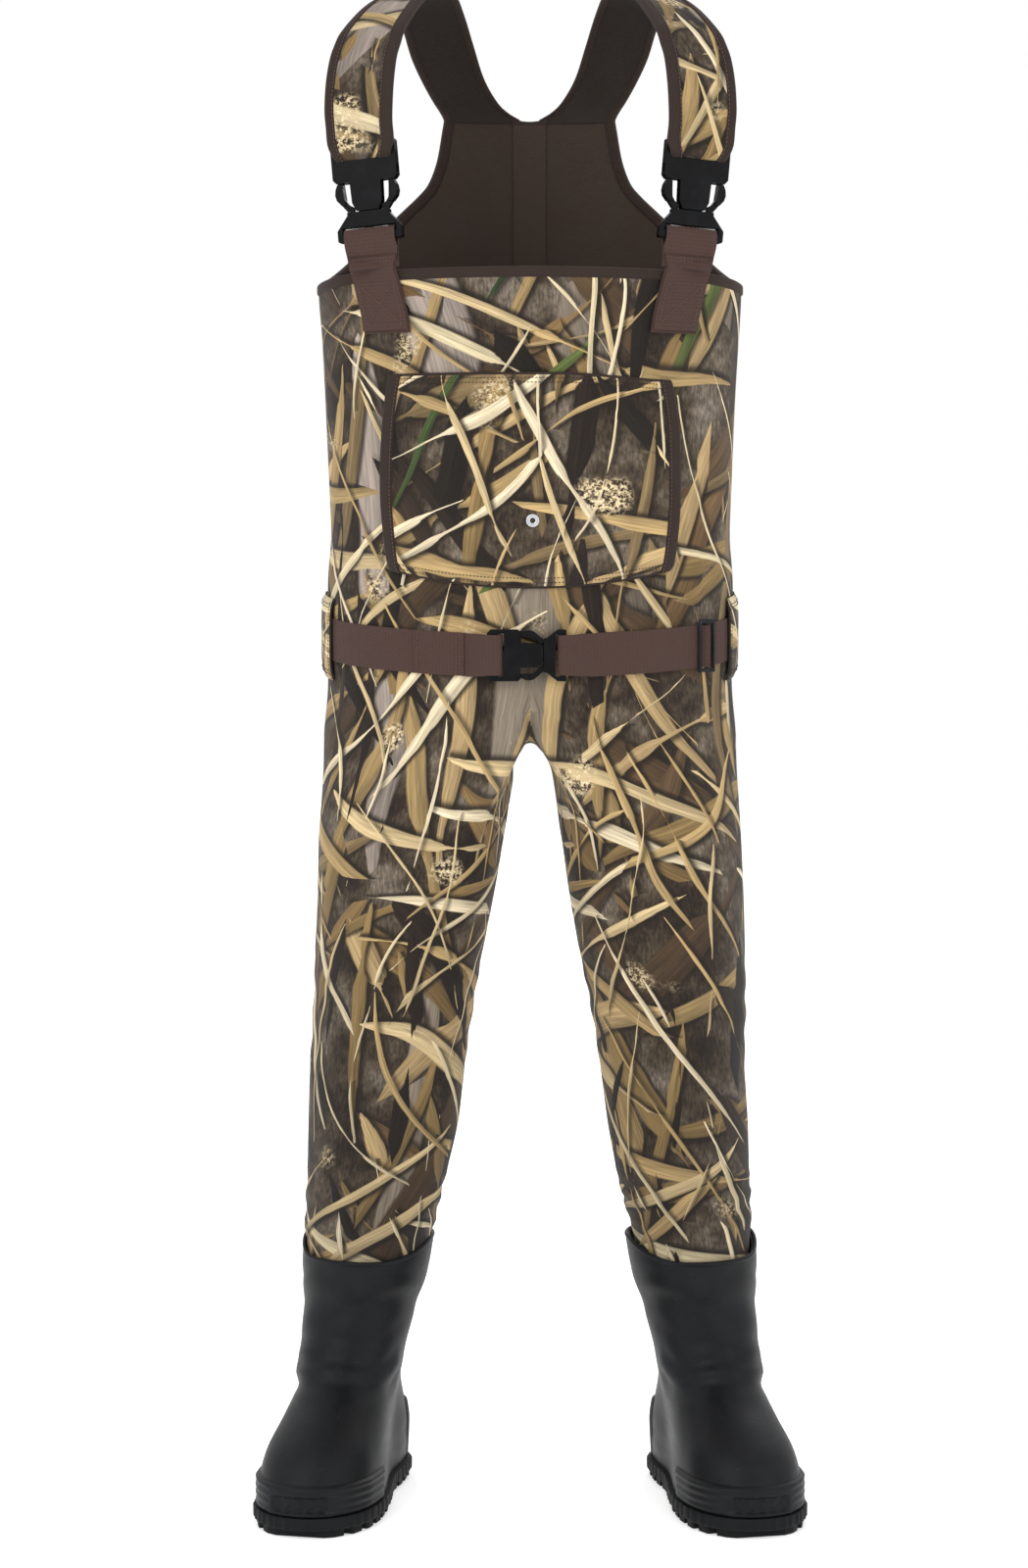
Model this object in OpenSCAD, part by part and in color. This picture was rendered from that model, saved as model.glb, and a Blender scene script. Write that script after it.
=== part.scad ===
// Youth neoprene bootfoot chest waders: an H-back bib on two shoulder straps,
// a waist belt, and a rubber boot bonded to each leg.
// Heights below are given above the soles; the whole garment is then lowered
// so that the origin sits between the tops of the two shoulder straps, where
// the waders hang. The front faces -Y, and +X is the wearer's left.

/* [Overall] */
// Height of the shoulder strap tops above the soles
hang_z = 1235; // [1235:1:1240]
// Thickness of the neoprene with its lining
neoprene_t = 4.6; // [3:0.1:5]

/* [Torso] */
// Half width of the waist, side to side
waist_a = 164.5; // [162:0.5:166]
// Half depth of the waist, front to back
waist_b = 106; // [104:0.5:107]
// Radius of the rounded sides of the bib
side_r = 75; // [70:1:80]
// Height of the bib's top edge at the front
bib_top = 997; // [990:1:1000]
// Height of the lower edge of the bib panels
bib_bottom = 628; // [628:1:630]

/* [Shoulder straps] */
// Distance of each shoulder buckle from the middle
buckle_x = 127; // [122:0.5:130]
// Lean of the shoulder buckles outward
buckle_lean = 5; // [0:1:7]
// Turn of the shoulder buckles outward
buckle_yaw = 12; // [5:1:15]
// Height of the joint line between plug and socket
buckle_z = 1043; // [1041:1:1045]
// Thickness of the padded shoulder straps
strap_t = 5; // [4:0.5:6]
// Width of the chest tab webbing
tab_w = 42; // [36:1:44]

/* [Belt] */
// Height of the belt webbing
belt_w = 34; // [30:1:36]
// Thickness of the belt webbing
belt_t = 1.4; // [1:0.1:1.6]
// Height of the belt at the front
belt_front_z = 695; // [692:1:700]
// Size of the belt buckle against the shoulder buckles
belt_buckle_scale = 0.78; // [0.74:0.01:0.8]
// Place of the belt's joint line from the middle
belt_buckle_x = 11; // [6:1:14]

/* [Pocket] */
// Lowest height of the hand pocket
pocket_low = 748; // [744:1:752]
// Highest height of the hand pocket
pocket_high = 915; // [905:1:920]
// How far the pouch stands off the bib
pocket_gap = 20; // [16:1:22]

/* [Boots] */
// Turn of each foot outward
toe_out = 13; // [8:1:15]
// Wall of the rubber boots
boot_wall = 4; // [3:0.5:5]
// Height of the lugs under the outsole
lug_h = 5; // [3:0.5:5.5]

/* [Hidden] */

camo = "#8a7a5c";
brown = "#4e3a36";
lining = "#3a3029";
black = "#1c1d1f";
rubber = "#2b2c2f";

// ---- torso section: an oval of four tangent arcs, by height ----
TA = [[628, waist_a + 4], [664, waist_a], [756, waist_a], [788, waist_a - 3.5], [828, waist_a - 1.5],
      [908, waist_a + 2.5], [960, waist_a + 5.5], [985, waist_a + 7], [1150, waist_a + 7]];
TB = [[628, waist_b + 2], [664, waist_b], [756, waist_b], [788, waist_b - 1.5], [828, waist_b + 0.5],
      [908, waist_b + 2.5], [960, waist_b + 3.5], [985, waist_b + 1], [1002, waist_b + 1], [1150, waist_b - 5]];
function ta(z) = lookup(z, TA);
function tb(z) = lookup(z, TB);
function big_r(a, b) = (a * a + b * b - 2 * a * side_r) / (2 * (b - side_r));
function junction(a, b) = atan2(a - side_r, big_r(a, b) - b);
// point of the oval whose outward normal is f degrees from the front, towards +X
function oval(a, b, off, f) =
    let (R = big_r(a, b), j = junction(a, b), g = ((f % 360) + 540) % 360 - 180)
    abs(g) <= j ? [(R + off) * sin(g), (R - b) - (R + off) * cos(g)]
    : abs(g) >= 180 - j ? [(R + off) * sin(g), -(R - b) - (R + off) * cos(g)]
    : [sign(g) * (a - side_r) + (side_r + off) * sin(g), -(side_r + off) * cos(g)];
function torso_pt(f, z, off) = let (p = oval(ta(z), tb(z), off, f)) [p[0], p[1], z];
// columns round the front, denser on the rounded sides; the back adds 180
FC = [-90, -78, -66, -54, -45, -38, -32, -26, -19.5, -13, -6.5, 0, 6.5, 13, 19.5, 26, 32, 38, 45, 54, 66, 78, 90];

// ---- closed sheets and tubes from two grids of points ----
function flat(m) = [for (r = m) each r];
// a sheet between an outer grid and an inner grid
module slab(o, i) {
    nr = len(o); nc = len(o[0]); n = nr * nc;
    polyhedron(
        points = concat(flat(o), flat(i)),
        faces = concat(
            [for (r = [0:nr - 2], c = [0:nc - 2]) each [
                [r * nc + c, (r + 1) * nc + c, (r + 1) * nc + c + 1],
                [r * nc + c, (r + 1) * nc + c + 1, r * nc + c + 1],
                [n + r * nc + c, n + (r + 1) * nc + c + 1, n + (r + 1) * nc + c],
                [n + r * nc + c, n + r * nc + c + 1, n + (r + 1) * nc + c + 1]]],
            [for (c = [0:nc - 2]) each [
                [c, c + 1, n + c + 1], [c, n + c + 1, n + c],
                [n - nc + c, 2 * n - nc + c + 1, n - nc + c + 1], [n - nc + c, 2 * n - nc + c, 2 * n - nc + c + 1]]],
            [for (r = [0:nr - 2]) each [
                [r * nc, n + r * nc, n + (r + 1) * nc], [r * nc, n + (r + 1) * nc, (r + 1) * nc],
                [r * nc + nc - 1, n + (r + 1) * nc + nc - 1, n + r * nc + nc - 1],
                [r * nc + nc - 1, (r + 1) * nc + nc - 1, n + (r + 1) * nc + nc - 1]]]),
        convexity = 10);
}
// a tube, open at both ends, or with a floor at its first row
module tube(o, i, floor = false) {
    nr = len(o); ni = len(i); nc = len(o[0]); n = nr * nc;
    polyhedron(
        points = concat(flat(o), flat(i)),
        faces = concat(
            [for (r = [0:nr - 2], c = [0:nc - 1]) let (d = (c + 1) % nc) each [
                [r * nc + c, (r + 1) * nc + c, (r + 1) * nc + d],
                [r * nc + c, (r + 1) * nc + d, r * nc + d]]],
            [for (r = [0:ni - 2], c = [0:nc - 1]) let (d = (c + 1) % nc) each [
                [n + r * nc + c, n + (r + 1) * nc + d, n + (r + 1) * nc + c],
                [n + r * nc + c, n + r * nc + d, n + (r + 1) * nc + d]]],
            [for (c = [0:nc - 1]) let (d = (c + 1) % nc) each [
                [n - nc + c, n + ni * nc - nc + d, n - nc + d], [n - nc + c, n + ni * nc - nc + c, n + ni * nc - nc + d]]],
            floor ? [[for (c = [0:nc - 1]) c], [for (c = [nc - 1:-1:0]) n + c]]
            : [for (c = [0:nc - 1]) let (d = (c + 1) % nc) each [[c, d, n + d], [c, n + d, n + c]]]),
        convexity = 10);
}
module place() translate([0, 0, -hang_z]) children();
module side(s) if (s > 0) children(); else mirror([1, 0, 0]) children();

// ---- bib panels ----
function front_top(f) = bib_top - 6 * pow(abs(sin(f)), 3);
FZ = [bib_bottom, 646, 664, 710, 756, 772, 788, 808, 828, 868, 908, 934, 960, 985];
module torso_front_panel() color(camo) place()
    slab([for (z = FZ) [for (f = FC) torso_pt(f, z, 0)], [for (f = FC) torso_pt(f, front_top(f), 0)]],
         [for (z = FZ) [for (f = FC) torso_pt(f, z, -neoprene_t)], [for (f = FC) torso_pt(f, front_top(f), -neoprene_t)]]);

// armhole edge of the back panel, from the side seam up to the strap: [x, height]
ARM = [[171.5, 991], [168, 996], [155, 1009], [132, 1033], [106, 1059], [92, 1073], [83.5, 1084], [76.5, 1103], [72, 1128], [70.5, 1136.7]];
BX = concat([for (p = ARM) p[0]], [60, 48, 36, 22, 8]);
BT = concat([for (p = ARM) p[1]], [1136.7, 1136.7, 1136.7, 1136.7, 1136.7]);
BACK_X = concat(BX, [for (k = [len(BX) - 1:-1:0]) -BX[k]]);
BACK_T = concat(BT, [for (k = [len(BT) - 1:-1:0]) BT[k]]);
// point of the back surface at a given x
function back_pt(x, z, off) =
    let (a = ta(z), b = tb(z), R = big_r(a, b), j = junction(a, b), w = min(abs(x), a))
    let (g = w < R * sin(j) ? asin(w / R) : asin(min(1, (w - (a - side_r)) / side_r)))
    let (p = oval(a, b, off, 180 - sign(x) * g)) [p[0], p[1], z];
function sides_x(x, z) = x * ta(z) / ta(985);
function back_grid(off) = concat(
    [for (z = FZ) [for (k = [0:len(BACK_X) - 1]) back_pt(sides_x(BACK_X[k], z), z, off)]],
    [for (v = [0.25, 0.5, 0.75, 1]) [for (k = [0:len(BACK_X) - 1])
        let (z = 985 + (BACK_T[k] - 985) * v) back_pt(BACK_X[k], z, off)]]);
module torso_back_panel() color(camo) place()
    slab(back_grid(0), back_grid(-neoprene_t));

module back_seam_tape() color(brown) place()
    slab([for (z = [1000, 1030, 1060, 1090, 1120, 1134]) [for (x = [14, 5, -5, -14]) back_pt(x, z, -neoprene_t - 0.4)]],
         [for (z = [1000, 1030, 1060, 1090, 1120, 1134]) [for (x = [14, 5, -5, -14]) back_pt(x, z, -neoprene_t - 1.4)]]);

// saddle strip between the legs
module crotch_gusset() color(camo) place()
    translate([-7.4, 0, 0]) rotate([90, 0, 90]) linear_extrude(14.8)
        polygon(concat(
            [for (k = [-10:10]) [k * 10, 612 + 15.5 * pow(k / 10, 2)]],
            [for (k = [10:-1:-10]) [k * 9.6, 617 + 10.5 * pow(k / 10, 2)]]));

// a folded tape round the top edge of the front panel
BIND = [[1.4, -5], [1.4, 3], [-5.8, 3], [-5.8, -5], [-4.9, -5], [-4.9, 0.3], [0.3, 0.3], [0.3, -5]];
module loft_ring(rings) {
    nr = len(rings); nc = len(rings[0]);
    polyhedron(
        points = flat(rings),
        faces = concat(
            [for (r = [0:nr - 2], c = [0:nc - 1]) let (d = (c + 1) % nc) each [
                [r * nc + c, r * nc + d, (r + 1) * nc + d],
                [r * nc + c, (r + 1) * nc + d, (r + 1) * nc + c]]],
            [[for (c = [nc - 1:-1:0]) c]],
            [[for (c = [0:nc - 1]) (nr - 1) * nc + c]]),
        convexity = 10);
}
module chest_binding() color(brown) place()
    loft_ring([for (k = [1:len(FC) - 2]) [for (s = [0:len(BIND) - 1])
        let (p = torso_pt(FC[k], 990, BIND[s][0])) [p[0], p[1], front_top(FC[k]) + BIND[s][1]]]]);

module armhole_binding(s) color(brown) place() side(s)
    slab([for (o = [0.3, 4.3]) [for (k = [1:len(ARM) - 2])
            let (u = ARM[k + 1] - ARM[k - 1], d = [u[1], -u[0]] / norm(u))
            back_pt(ARM[k][0] + o * d[0], ARM[k][1] - o * d[1] * -1, 0.8)]],
         [for (o = [0.3, 4.3]) [for (k = [1:len(ARM) - 2])
            let (u = ARM[k + 1] - ARM[k - 1], d = [u[1], -u[0]] / norm(u))
            back_pt(ARM[k][0] + o * d[0], ARM[k][1] - o * d[1] * -1, -neoprene_t - 0.8)]]);
module left_armhole_binding() armhole_binding(1);
module right_armhole_binding() armhole_binding(-1);
module neckline_binding() color(brown) place()
    translate([-7, tb(1137) - neoprene_t - 1, 1137.1]) cube([14, neoprene_t + 2, 4]);

// ---- hand pocket ----
PC = [-30, -26, -19.5, -13, -6.5, 0, 6.5, 13, 19.5, 26, 30];
PV = [0, 0.06, 0.14, 0.26, 0.4, 0.55, 0.7, 0.82, 0.91, 1];
function pocket_z(f, v) = let (lo = pocket_low + 14 * pow(abs(f) / 30, 2)) lo + (pocket_high - lo) * v;
function pocket_off(v) = 3.2 + pocket_gap * pow(sin(180 * pow(v, 0.85)), 0.7);
module pocket_pouch() color(camo) place()
    slab([for (v = PV) [for (f = PC) torso_pt(f, pocket_z(f, v), pocket_off(v))]],
         [for (v = PV) [for (f = PC) torso_pt(f, pocket_z(f, v), pocket_off(v) - 2.8)]]);
module pocket_binding(f0) color(brown) place()
    slab([for (v = PV) [for (f = [f0 - 1.7, f0 + 1.7]) torso_pt(f, pocket_z(f, v), pocket_off(v) + 1.4)]],
         [for (v = PV) [for (f = [f0 - 1.7, f0 + 1.7]) torso_pt(f, pocket_z(f, v), pocket_off(v) + 0.4)]]);
module left_pocket_binding() pocket_binding(28);
module right_pocket_binding() pocket_binding(-28);
module pocket_drain_eyelet() color("silver") place()
    translate([1.5, -tb(800) - pocket_off(0.32) - 0.7, 800]) rotate([90, 0, 0])
        difference() { cylinder(h = 1.6, r = 5.2, $fn = 48); translate([0, 0, -1]) cylinder(h = 4, r = 2, $fn = 32); }

// ---- side-release buckle, in its own frame: +Z from the plug to the socket, -Y outward ----
module plate(t, pts) translate([0, t / 2, 0]) rotate([90, 0, 0]) linear_extrude(t) polygon(pts);
module bar_y(x, z, r, t) translate([x, t / 2, z]) rotate([90, 0, 0]) cylinder(h = t, r = r, $fn = 32);
module buckle_plug() {
    difference() {
        plate(10, [[-25, -22], [25, -22], [26, -21], [26, -13], [17, -1.6], [17, 1.1], [-17, 1.1], [-17, -1.6], [-26, -13], [-26, -21]]);
        translate([-21.5, -6, -16]) cube([43, 12, 5]);
    }
    plate(6, [[-7, 1.1], [7, 1.1], [7, 33], [4, 36.5], [-4, 36.5], [-7, 33]]);
}
module buckle_socket() difference() {
    union() {
        plate(11, [[-23.5, 24], [23.5, 24], [26, 27], [26, 54.5], [22.5, 58], [-22.5, 58], [-26, 54.5], [-26, 27]]);
        plate(11, [[-9, 1.6], [9, 1.6], [12, 8], [12.6, 24], [-12.6, 24], [-12, 8]]);
    }
    translate([-22.8, -3.3, 0]) cube([45.6, 6.6, 38]);
    translate([-27, -3.3, 29]) cube([54, 6.6, 6.4]);
    translate([-22, -6, 41]) cube([44, 12, 6]);
}
module latch_arm() {
    plate(5.8, [[11.5, 1.5], [16.5, 1.5], [20, 6], [24.2, 11], [25.2, 15], [24.6, 19.5], [22.3, 24.5], [22.3, 29.3],
                [24.7, 29.5], [24.7, 31], [21, 35], [18.5, 35], [18.5, 25], [19.3, 18], [18.4, 12], [15, 7], [11.5, 5]]);
    plate(10, [[17.2, 7], [20.8, 7], [24.2, 11], [25.2, 15], [24.6, 19.5], [22.9, 23.2], [18.8, 23.2], [18.6, 19], [18, 12]]);
}
module on_shoulder(s) place() side(s)
    translate([buckle_x, -77, buckle_z]) rotate([0, buckle_lean, buckle_yaw]) children();
module on_belt() place()
    translate([belt_buckle_x, -waist_b - 5, belt_front_z]) rotate([0, -90, 0]) scale(belt_buckle_scale) children();

module left_buckle_plug() color(black) on_shoulder(1) buckle_plug();
module right_buckle_plug() color(black) on_shoulder(-1) buckle_plug();
module left_buckle_socket() color(black) on_shoulder(1) buckle_socket();
module right_buckle_socket() color(black) on_shoulder(-1) buckle_socket();
module left_latch_arm_outer() color(black) on_shoulder(1) latch_arm();
module left_latch_arm_inner() color(black) on_shoulder(1) mirror([1, 0, 0]) latch_arm();
module right_latch_arm_outer() color(black) on_shoulder(-1) latch_arm();
module right_latch_arm_inner() color(black) on_shoulder(-1) mirror([1, 0, 0]) latch_arm();
module belt_buckle_plug() color(black) on_belt() buckle_plug();
module belt_buckle_socket() color(black) on_belt() buckle_socket();
module belt_latch_arm_upper() color(black) on_belt() latch_arm();
module belt_latch_arm_lower() color(black) on_belt() mirror([1, 0, 0]) latch_arm();

// strap end folded round the socket's bar
module strap_end(s) color(camo) on_shoulder(s) {
    translate([-25.5, -10.2, 40]) cube([51, 4.4, 40.8]);
    translate([-21, -6, 41.4]) cube([42, 11.9, 3.4]);
    translate([-21, 5.8, 41.4]) cube([42, 2.6, 22]);
}
module left_strap_end() strap_end(1);
module right_strap_end() strap_end(-1);

// webbing tab sewn to the bib, folded through the plug's bar
function wdir(g) = [cos(g), sin(g), 0];
function ndir(g) = [sin(g), -cos(g), 0];
module chest_tab(s) color(brown) place() side(s) {
    p = torso_pt(31, 996, 3.4);
    q = [buckle_x - 2.2, -77, buckle_z - 25];
    rows = [[torso_pt(30.3, 950, 3.2), 30.3], [torso_pt(30.6, 973, 3.2), 30.6], [p, 31], [p + [1.4, 0.4, 9], 28], [q + [-0.6, -3.4, -5], 14], [q + [0, -4.9, 0.2], buckle_yaw]];
    slab([for (r = rows) [for (h = [-0.5, 0.5]) r[0] + h * (tab_w - (r[1] < 20 ? 1.4 : 0)) * wdir(r[1]) + 1.3 * ndir(r[1])]],
         [for (r = rows) [for (h = [-0.5, 0.5]) r[0] + h * (tab_w - (r[1] < 20 ? 1.4 : 0)) * wdir(r[1]) - 1.3 * ndir(r[1])]]);
    translate([buckle_x, -77, buckle_z]) rotate([0, buckle_lean, buckle_yaw]) translate([-20.3, 0, 0]) rotate([90, 0, 90]) linear_extrude(40.6)
        difference() {
            polygon([[-5.4, -24.6], [-7.2, -22.8], [-7.2, -15.4], [-4, -12.6], [4, -12.6], [7.2, -15.4], [7.2, -22.8], [5.4, -24.6]]);
            translate([-5.35, -22.35]) square([10.7, 6.7]);
        }
}
module left_chest_tab() chest_tab(1);
module right_chest_tab() chest_tab(-1);

// ---- shoulder straps: [inner edge, outer edge] from the strap end, over the shoulder, to the back ----
STRAP = [
    [[110, -88.5, 1127.4], [161, -78, 1123]],
    [[109, -84, 1146], [160, -75, 1144]],
    [[107, -76, 1166], [157.5, -67, 1163]],
    [[104, -70, 1178], [154, -62, 1175]],
    [[103.8, -69.6, 1178.7], [153.8, -61.6, 1175.7]],
    [[100, -62, 1192], [149, -54, 1187]],
    [[88, -37, 1216], [136.5, -31, 1206]],
    [[77, -8, 1233], [124.5, -5, 1220]],
    [[70, 12, 1237], [117, 13, 1224]],
    [[62, 38, 1233], [109, 38, 1221]],
    [[55, 62, 1218], [103, 60, 1206]],
    [[48, 80, 1197], [97, 77, 1187]],
    [[39, 93, 1172], [88, 88, 1168]],
    [[26, 100, 1150], [78, 94, 1150]],
    [[8, 101.5, 1137.1], [70.5, 91.5, 1137.1]]];
function unit(v) = v / norm(v);
function strap_n(k) =
    let (m = [for (e = STRAP) (e[0] + e[1]) / 2])
    let (t = k == 3 || k == 4 ? unit(m[5] - m[2]) : unit(m[min(k + 2, len(m) - 1)] - m[max(k - 2, 0)]), w = unit(STRAP[k][1] - STRAP[k][0]))
    let (n = unit(cross(w, t))) k == len(m) - 1 ? unit([n[0], n[1], 0]) : n;
function strap_row(k, off) = [for (h = [0, 0.33, 0.67, 1])
    STRAP[k][0] + h * (STRAP[k][1] - STRAP[k][0]) + off * strap_n(k)];
module strap(a, b) slab([for (k = [b:-1:a]) strap_row(k, -strap_t)], [for (k = [b:-1:a]) strap_row(k, 0)]);
module shoulder_strap(s) color(camo) place() side(s) strap(4, len(STRAP) - 1);
module strap_lower(s) color(camo) place() side(s) strap(0, 3);
module left_shoulder_strap() shoulder_strap(1);
module right_shoulder_strap() shoulder_strap(-1);
module left_strap_lower() strap_lower(1);
module right_strap_lower() strap_lower(-1);

// ---- waist belt: vertical webbing cut off by two tilted planes ----
belt_tilt = atan2(16, waist_b);
module belt_band(h) intersection() {
    translate([0, 0, belt_front_z - 60]) linear_extrude(150) children();
    translate([0, 0, belt_front_z + 16]) rotate([belt_tilt, 0, 0]) translate([-250, -250, -h / 2]) cube([500, 500, h]);
}
// ring sector between two offsets of the waist oval
module oval_sector(o0, o1, fs) polygon(concat(
    [for (f = fs) oval(waist_a, waist_b, o1, f)],
    [for (k = [len(fs) - 1:-1:0]) oval(waist_a, waist_b, o0, fs[k])]));
function step_list(a, b, n) = [for (k = [0:n]) a + (b - a) * k / n];
RF = [13, 19.5, 26, 32, 38, 45, 54, 66, 78, 90];
module belt_webbing_back() color(brown) place()
    belt_band(belt_w) oval_sector(0.5, 0.5 + belt_t, [90, 102, 114, 126, 135, 142, 148, 154, 160.5, 167, 173.5, 180, 186.5, 193, 199.5, 206, 212, 218, 225, 234, 246, 258, 270]);
// the two front lengths leave the oval near the buckle
module belt_front(s, o, x0, y0) {
    mid = [for (f = RF) oval(waist_a, waist_b, o + belt_t, f)];
    low = [for (f = RF) oval(waist_a, waist_b, o, f)];
    polygon([for (p = concat([[x0, y0 - belt_t / 2]], mid, [for (k = [len(low) - 1:-1:0]) low[k]], [[x0, y0 + belt_t / 2]])) [s * p[0], p[1]]]);
}
module belt_webbing_right() color(brown) place()
    belt_band(belt_w) belt_front(-1, 0.5, 35.2, -waist_b - 5);
module belt_webbing_left() color(brown) place()
    belt_band(belt_w) belt_front(1, 0.5, 29, -waist_b - 3);
module belt_webbing_tail() color(brown) place()
    belt_band(belt_w) polygon(concat([[29, -waist_b - 6.4 - belt_t]],
        [for (f = [13, 19.5, 26, 32, 38]) oval(waist_a, waist_b, 2.3 + belt_t, f)],
        [for (f = [38, 32, 26, 19.5, 13]) oval(waist_a, waist_b, 2.3, f)], [[29, -waist_b - 6.4]]));
slider_f = 39.5;
module belt_slider() color("dimgray") place() {
    p = oval(waist_a, waist_b, 4.4, slider_f);
    translate([p[0], p[1], belt_front_z + 16 + (p[1] * 16 / waist_b)]) rotate([0, 0, slider_f]) difference() {
        translate([-8.5, -2.4, -21]) cube([17, 2.4, 42]);
        translate([-5.9, -4, -18]) cube([4.4, 6, 36]);
        translate([1.5, -4, -18]) cube([4.4, 6, 36]);
    }
}
module side_loop(s) color(camo) place() side(s)
    belt_band(64) oval_sector(2.4, 4.6, [64, 72, 80, 88, 96]);
module belt_loop_left() side_loop(1);
module belt_loop_right() side_loop(-1);
module belt_loop_back() color(camo) place()
    belt_band(60) oval_sector(2.4, 4.6, [173.5, 176.75, 180, 183.25, 186.5]);

// ---- legs: [height, centre x, centre y, half width, half depth] ----
LEG = [[628, 88, 0, 80, 88], [600, 88, 0, 80, 85], [548, 97, 0, 76, 80], [428, 110, 6, 66.5, 70], [308, 121, 16, 60.5, 62], [212, 134.5, 26, 52, 56]];
function leg_v(z, k) = lookup(z, [for (r = [len(LEG) - 1:-1:0]) [LEG[r][0], LEG[r][k]]]);
LT = [for (k = [0:31]) k * 11.25];
function leg_pt(z, t, off) = [leg_v(z, 1) + (leg_v(z, 3) + off) * cos(t), leg_v(z, 2) + (leg_v(z, 4) + off) * sin(t), z];
// half of the bib's oval, closed by a flat wall beside the middle
function half_pt(t, off) =
    let (o = oval(ta(bib_bottom), tb(bib_bottom), off, t + 90))
    cos(t) >= -0.001 ? [max(8 - off, o[0]), o[1]] : [8 - off, (tb(bib_bottom) + off) * sin(t)];
function smooth(u) = let (v = max(0, min(1, u))) v * v * (3 - 2 * v);
function hip_pt(z, t, off) =
    let (m = smooth((bib_bottom - 0.4 - z) / 44), h = half_pt(t, off), e = leg_pt(z, t, off))
    [h[0] * (1 - m) + e[0] * m, h[1] * (1 - m) + e[1] * m, z];
module leg_tube(s, zs, col) color(col) place() side(s)
    tube([for (z = zs) [for (t = LT) leg_pt(z, t, 0)]], [for (z = zs) [for (t = LT) leg_pt(z, t, -neoprene_t)]]);
module hip_section(s) color(camo) place() side(s)
    tube([for (z = [560.3, 572, 584, 596, 606, 616, 627.6]) [for (t = LT) hip_pt(z, t, 0)]],
         [for (z = [560.3, 572, 584, 596, 606, 616, 627.6]) [for (t = LT) hip_pt(z, t, -neoprene_t)]]);
module left_hip_section() hip_section(1);
module right_hip_section() hip_section(-1);
module left_thigh() leg_tube(1, [445.3, 470, 510, 548, 560], camo);
module right_thigh() leg_tube(-1, [445.3, 470, 510, 548, 560], camo);
module left_knee_section() leg_tube(1, [355.3, 380, 400, 428, 445], camo);
module right_knee_section() leg_tube(-1, [355.3, 380, 400, 428, 445], camo);
module left_shin() leg_tube(1, [212.3, 240, 270, 308, 355], camo);
module right_shin() leg_tube(-1, [212.3, 240, 270, 308, 355], camo);

// ---- boots, in slices above the sole ----
ankle = [145, 30];
B_FRONT = [[0, 168], [16, 168], [40, 166], [60, 152], [74, 128], [88, 100], [104, 78], [125, 62], [154, 53], [212, 56]];
B_BACK = [[0, 64], [16, 64], [40, 66], [60, 66], [88, 61], [104, 56], [125, 50], [154, 51], [212, 56]];
B_WF = [[0, 47], [16, 47], [40, 48], [60, 45], [74, 42], [88, 41], [104, 42], [125, 43], [154, 47.5], [212, 52]];
B_WH = [[0, 35], [16, 35], [40, 36], [60, 36], [88, 38], [104, 41], [125, 43], [154, 47.5], [212, 52]];
B_DX = [[88, 0], [115, 1], [154, -4], [212, -10.5]];
B_DY = [[88, 0], [154, -1], [212, -4]];
SHAPE = [[0, 0], [0.012, 0.38], [0.05, 0.72], [0.12, 0.95], [0.22, 1], [0.34, 0.97], [0.48, 0.98], [0.6, 1], [0.72, 1], [0.82, 0.95], [0.9, 0.8], [0.96, 0.56], [0.99, 0.3], [1, 0]];
BU = [for (p = SHAPE) p[0]];
// outline point: u from heel to toe, h is the side (1 outer, -1 inner), zt the height its size is read at
function boot_pt(u, h, z, zt, off) =
    let (yf = min(lookup(zt, B_FRONT), lookup(z, B_FRONT)) + off, yb = min(lookup(zt, B_BACK), lookup(z, B_BACK)) + off)
    let (m = smooth((z - 46) / 56), w = lookup(z, B_WH) + (lookup(z, B_WF) - lookup(z, B_WH)) * smooth((u - 0.3) / 0.4) + off)
    let (hw = w * ((1 - m) * lookup(u, SHAPE) + m * sqrt(max(0, 1 - pow(2 * u - 1, 2)))), y = yb - u * (yf + yb), x = h * hw)
    [ankle[0] + lookup(z, B_DX) + x * cos(toe_out) - y * sin(toe_out), ankle[1] + lookup(z, B_DY) + x * sin(toe_out) + y * cos(toe_out), z];
NU = len(BU);
function boot_ring(z, zt, off) = concat(
    [for (k = [0:NU - 1]) boot_pt(BU[k], -1, z, zt, off)],
    [for (k = [NU - 2:-1:1]) boot_pt(BU[k], 1, z, zt, off)]);
module boot_upper(s) color(rubber) place() side(s)
    tube([for (z = [16, 28, 40, 50, 60, 68, 76, 86, 98, 112, 130, 154, 184, 212]) boot_ring(z, z, 0)],
         [for (z = [20, 28, 40, 50, 58, 66, 76, 86, 98, 112, 130, 154, 184, 212]) boot_ring(z, z + boot_wall + 1, -boot_wall)], floor = true);
module outline2d(off) polygon([for (p = boot_ring(16, 16, off)) [p[0], p[1]]]);
module boot_outsole(s) color("#202124") place() side(s) {
    translate([0, 0, lug_h]) linear_extrude(15.7 - lug_h) outline2d(3);
    linear_extrude(lug_h + 0.2) intersection() {
        outline2d(2.6);
        translate(ankle) rotate(toe_out) for (y = [-160, -143, -126, -109, -92, -75, -12, 5, 22, 39, 56]) translate([-60, y - 5.5]) square([120, 11]);
    }
}
module boot_insole(s) color("#5a5d60") place() side(s)
    translate([0, 0, 20.3]) linear_extrude(4) polygon([for (p = boot_ring(16, 16, -boot_wall - 3.4)) [p[0], p[1]]]);
module boot_seam_band(s) color(rubber) place() side(s)
    tube([for (z = [203, 212, 219]) [for (t = LT) let (p = leg_pt(max(z, 212), t, 3)) [p[0], p[1], z]]],
         [for (z = [203, 212, 219]) [for (t = LT) let (p = leg_pt(max(z, 212), t, 1.6)) [p[0], p[1], z]]]);
TOE_U = [0.66, 0.72, 0.82, 0.9, 0.96, 0.99];
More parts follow.
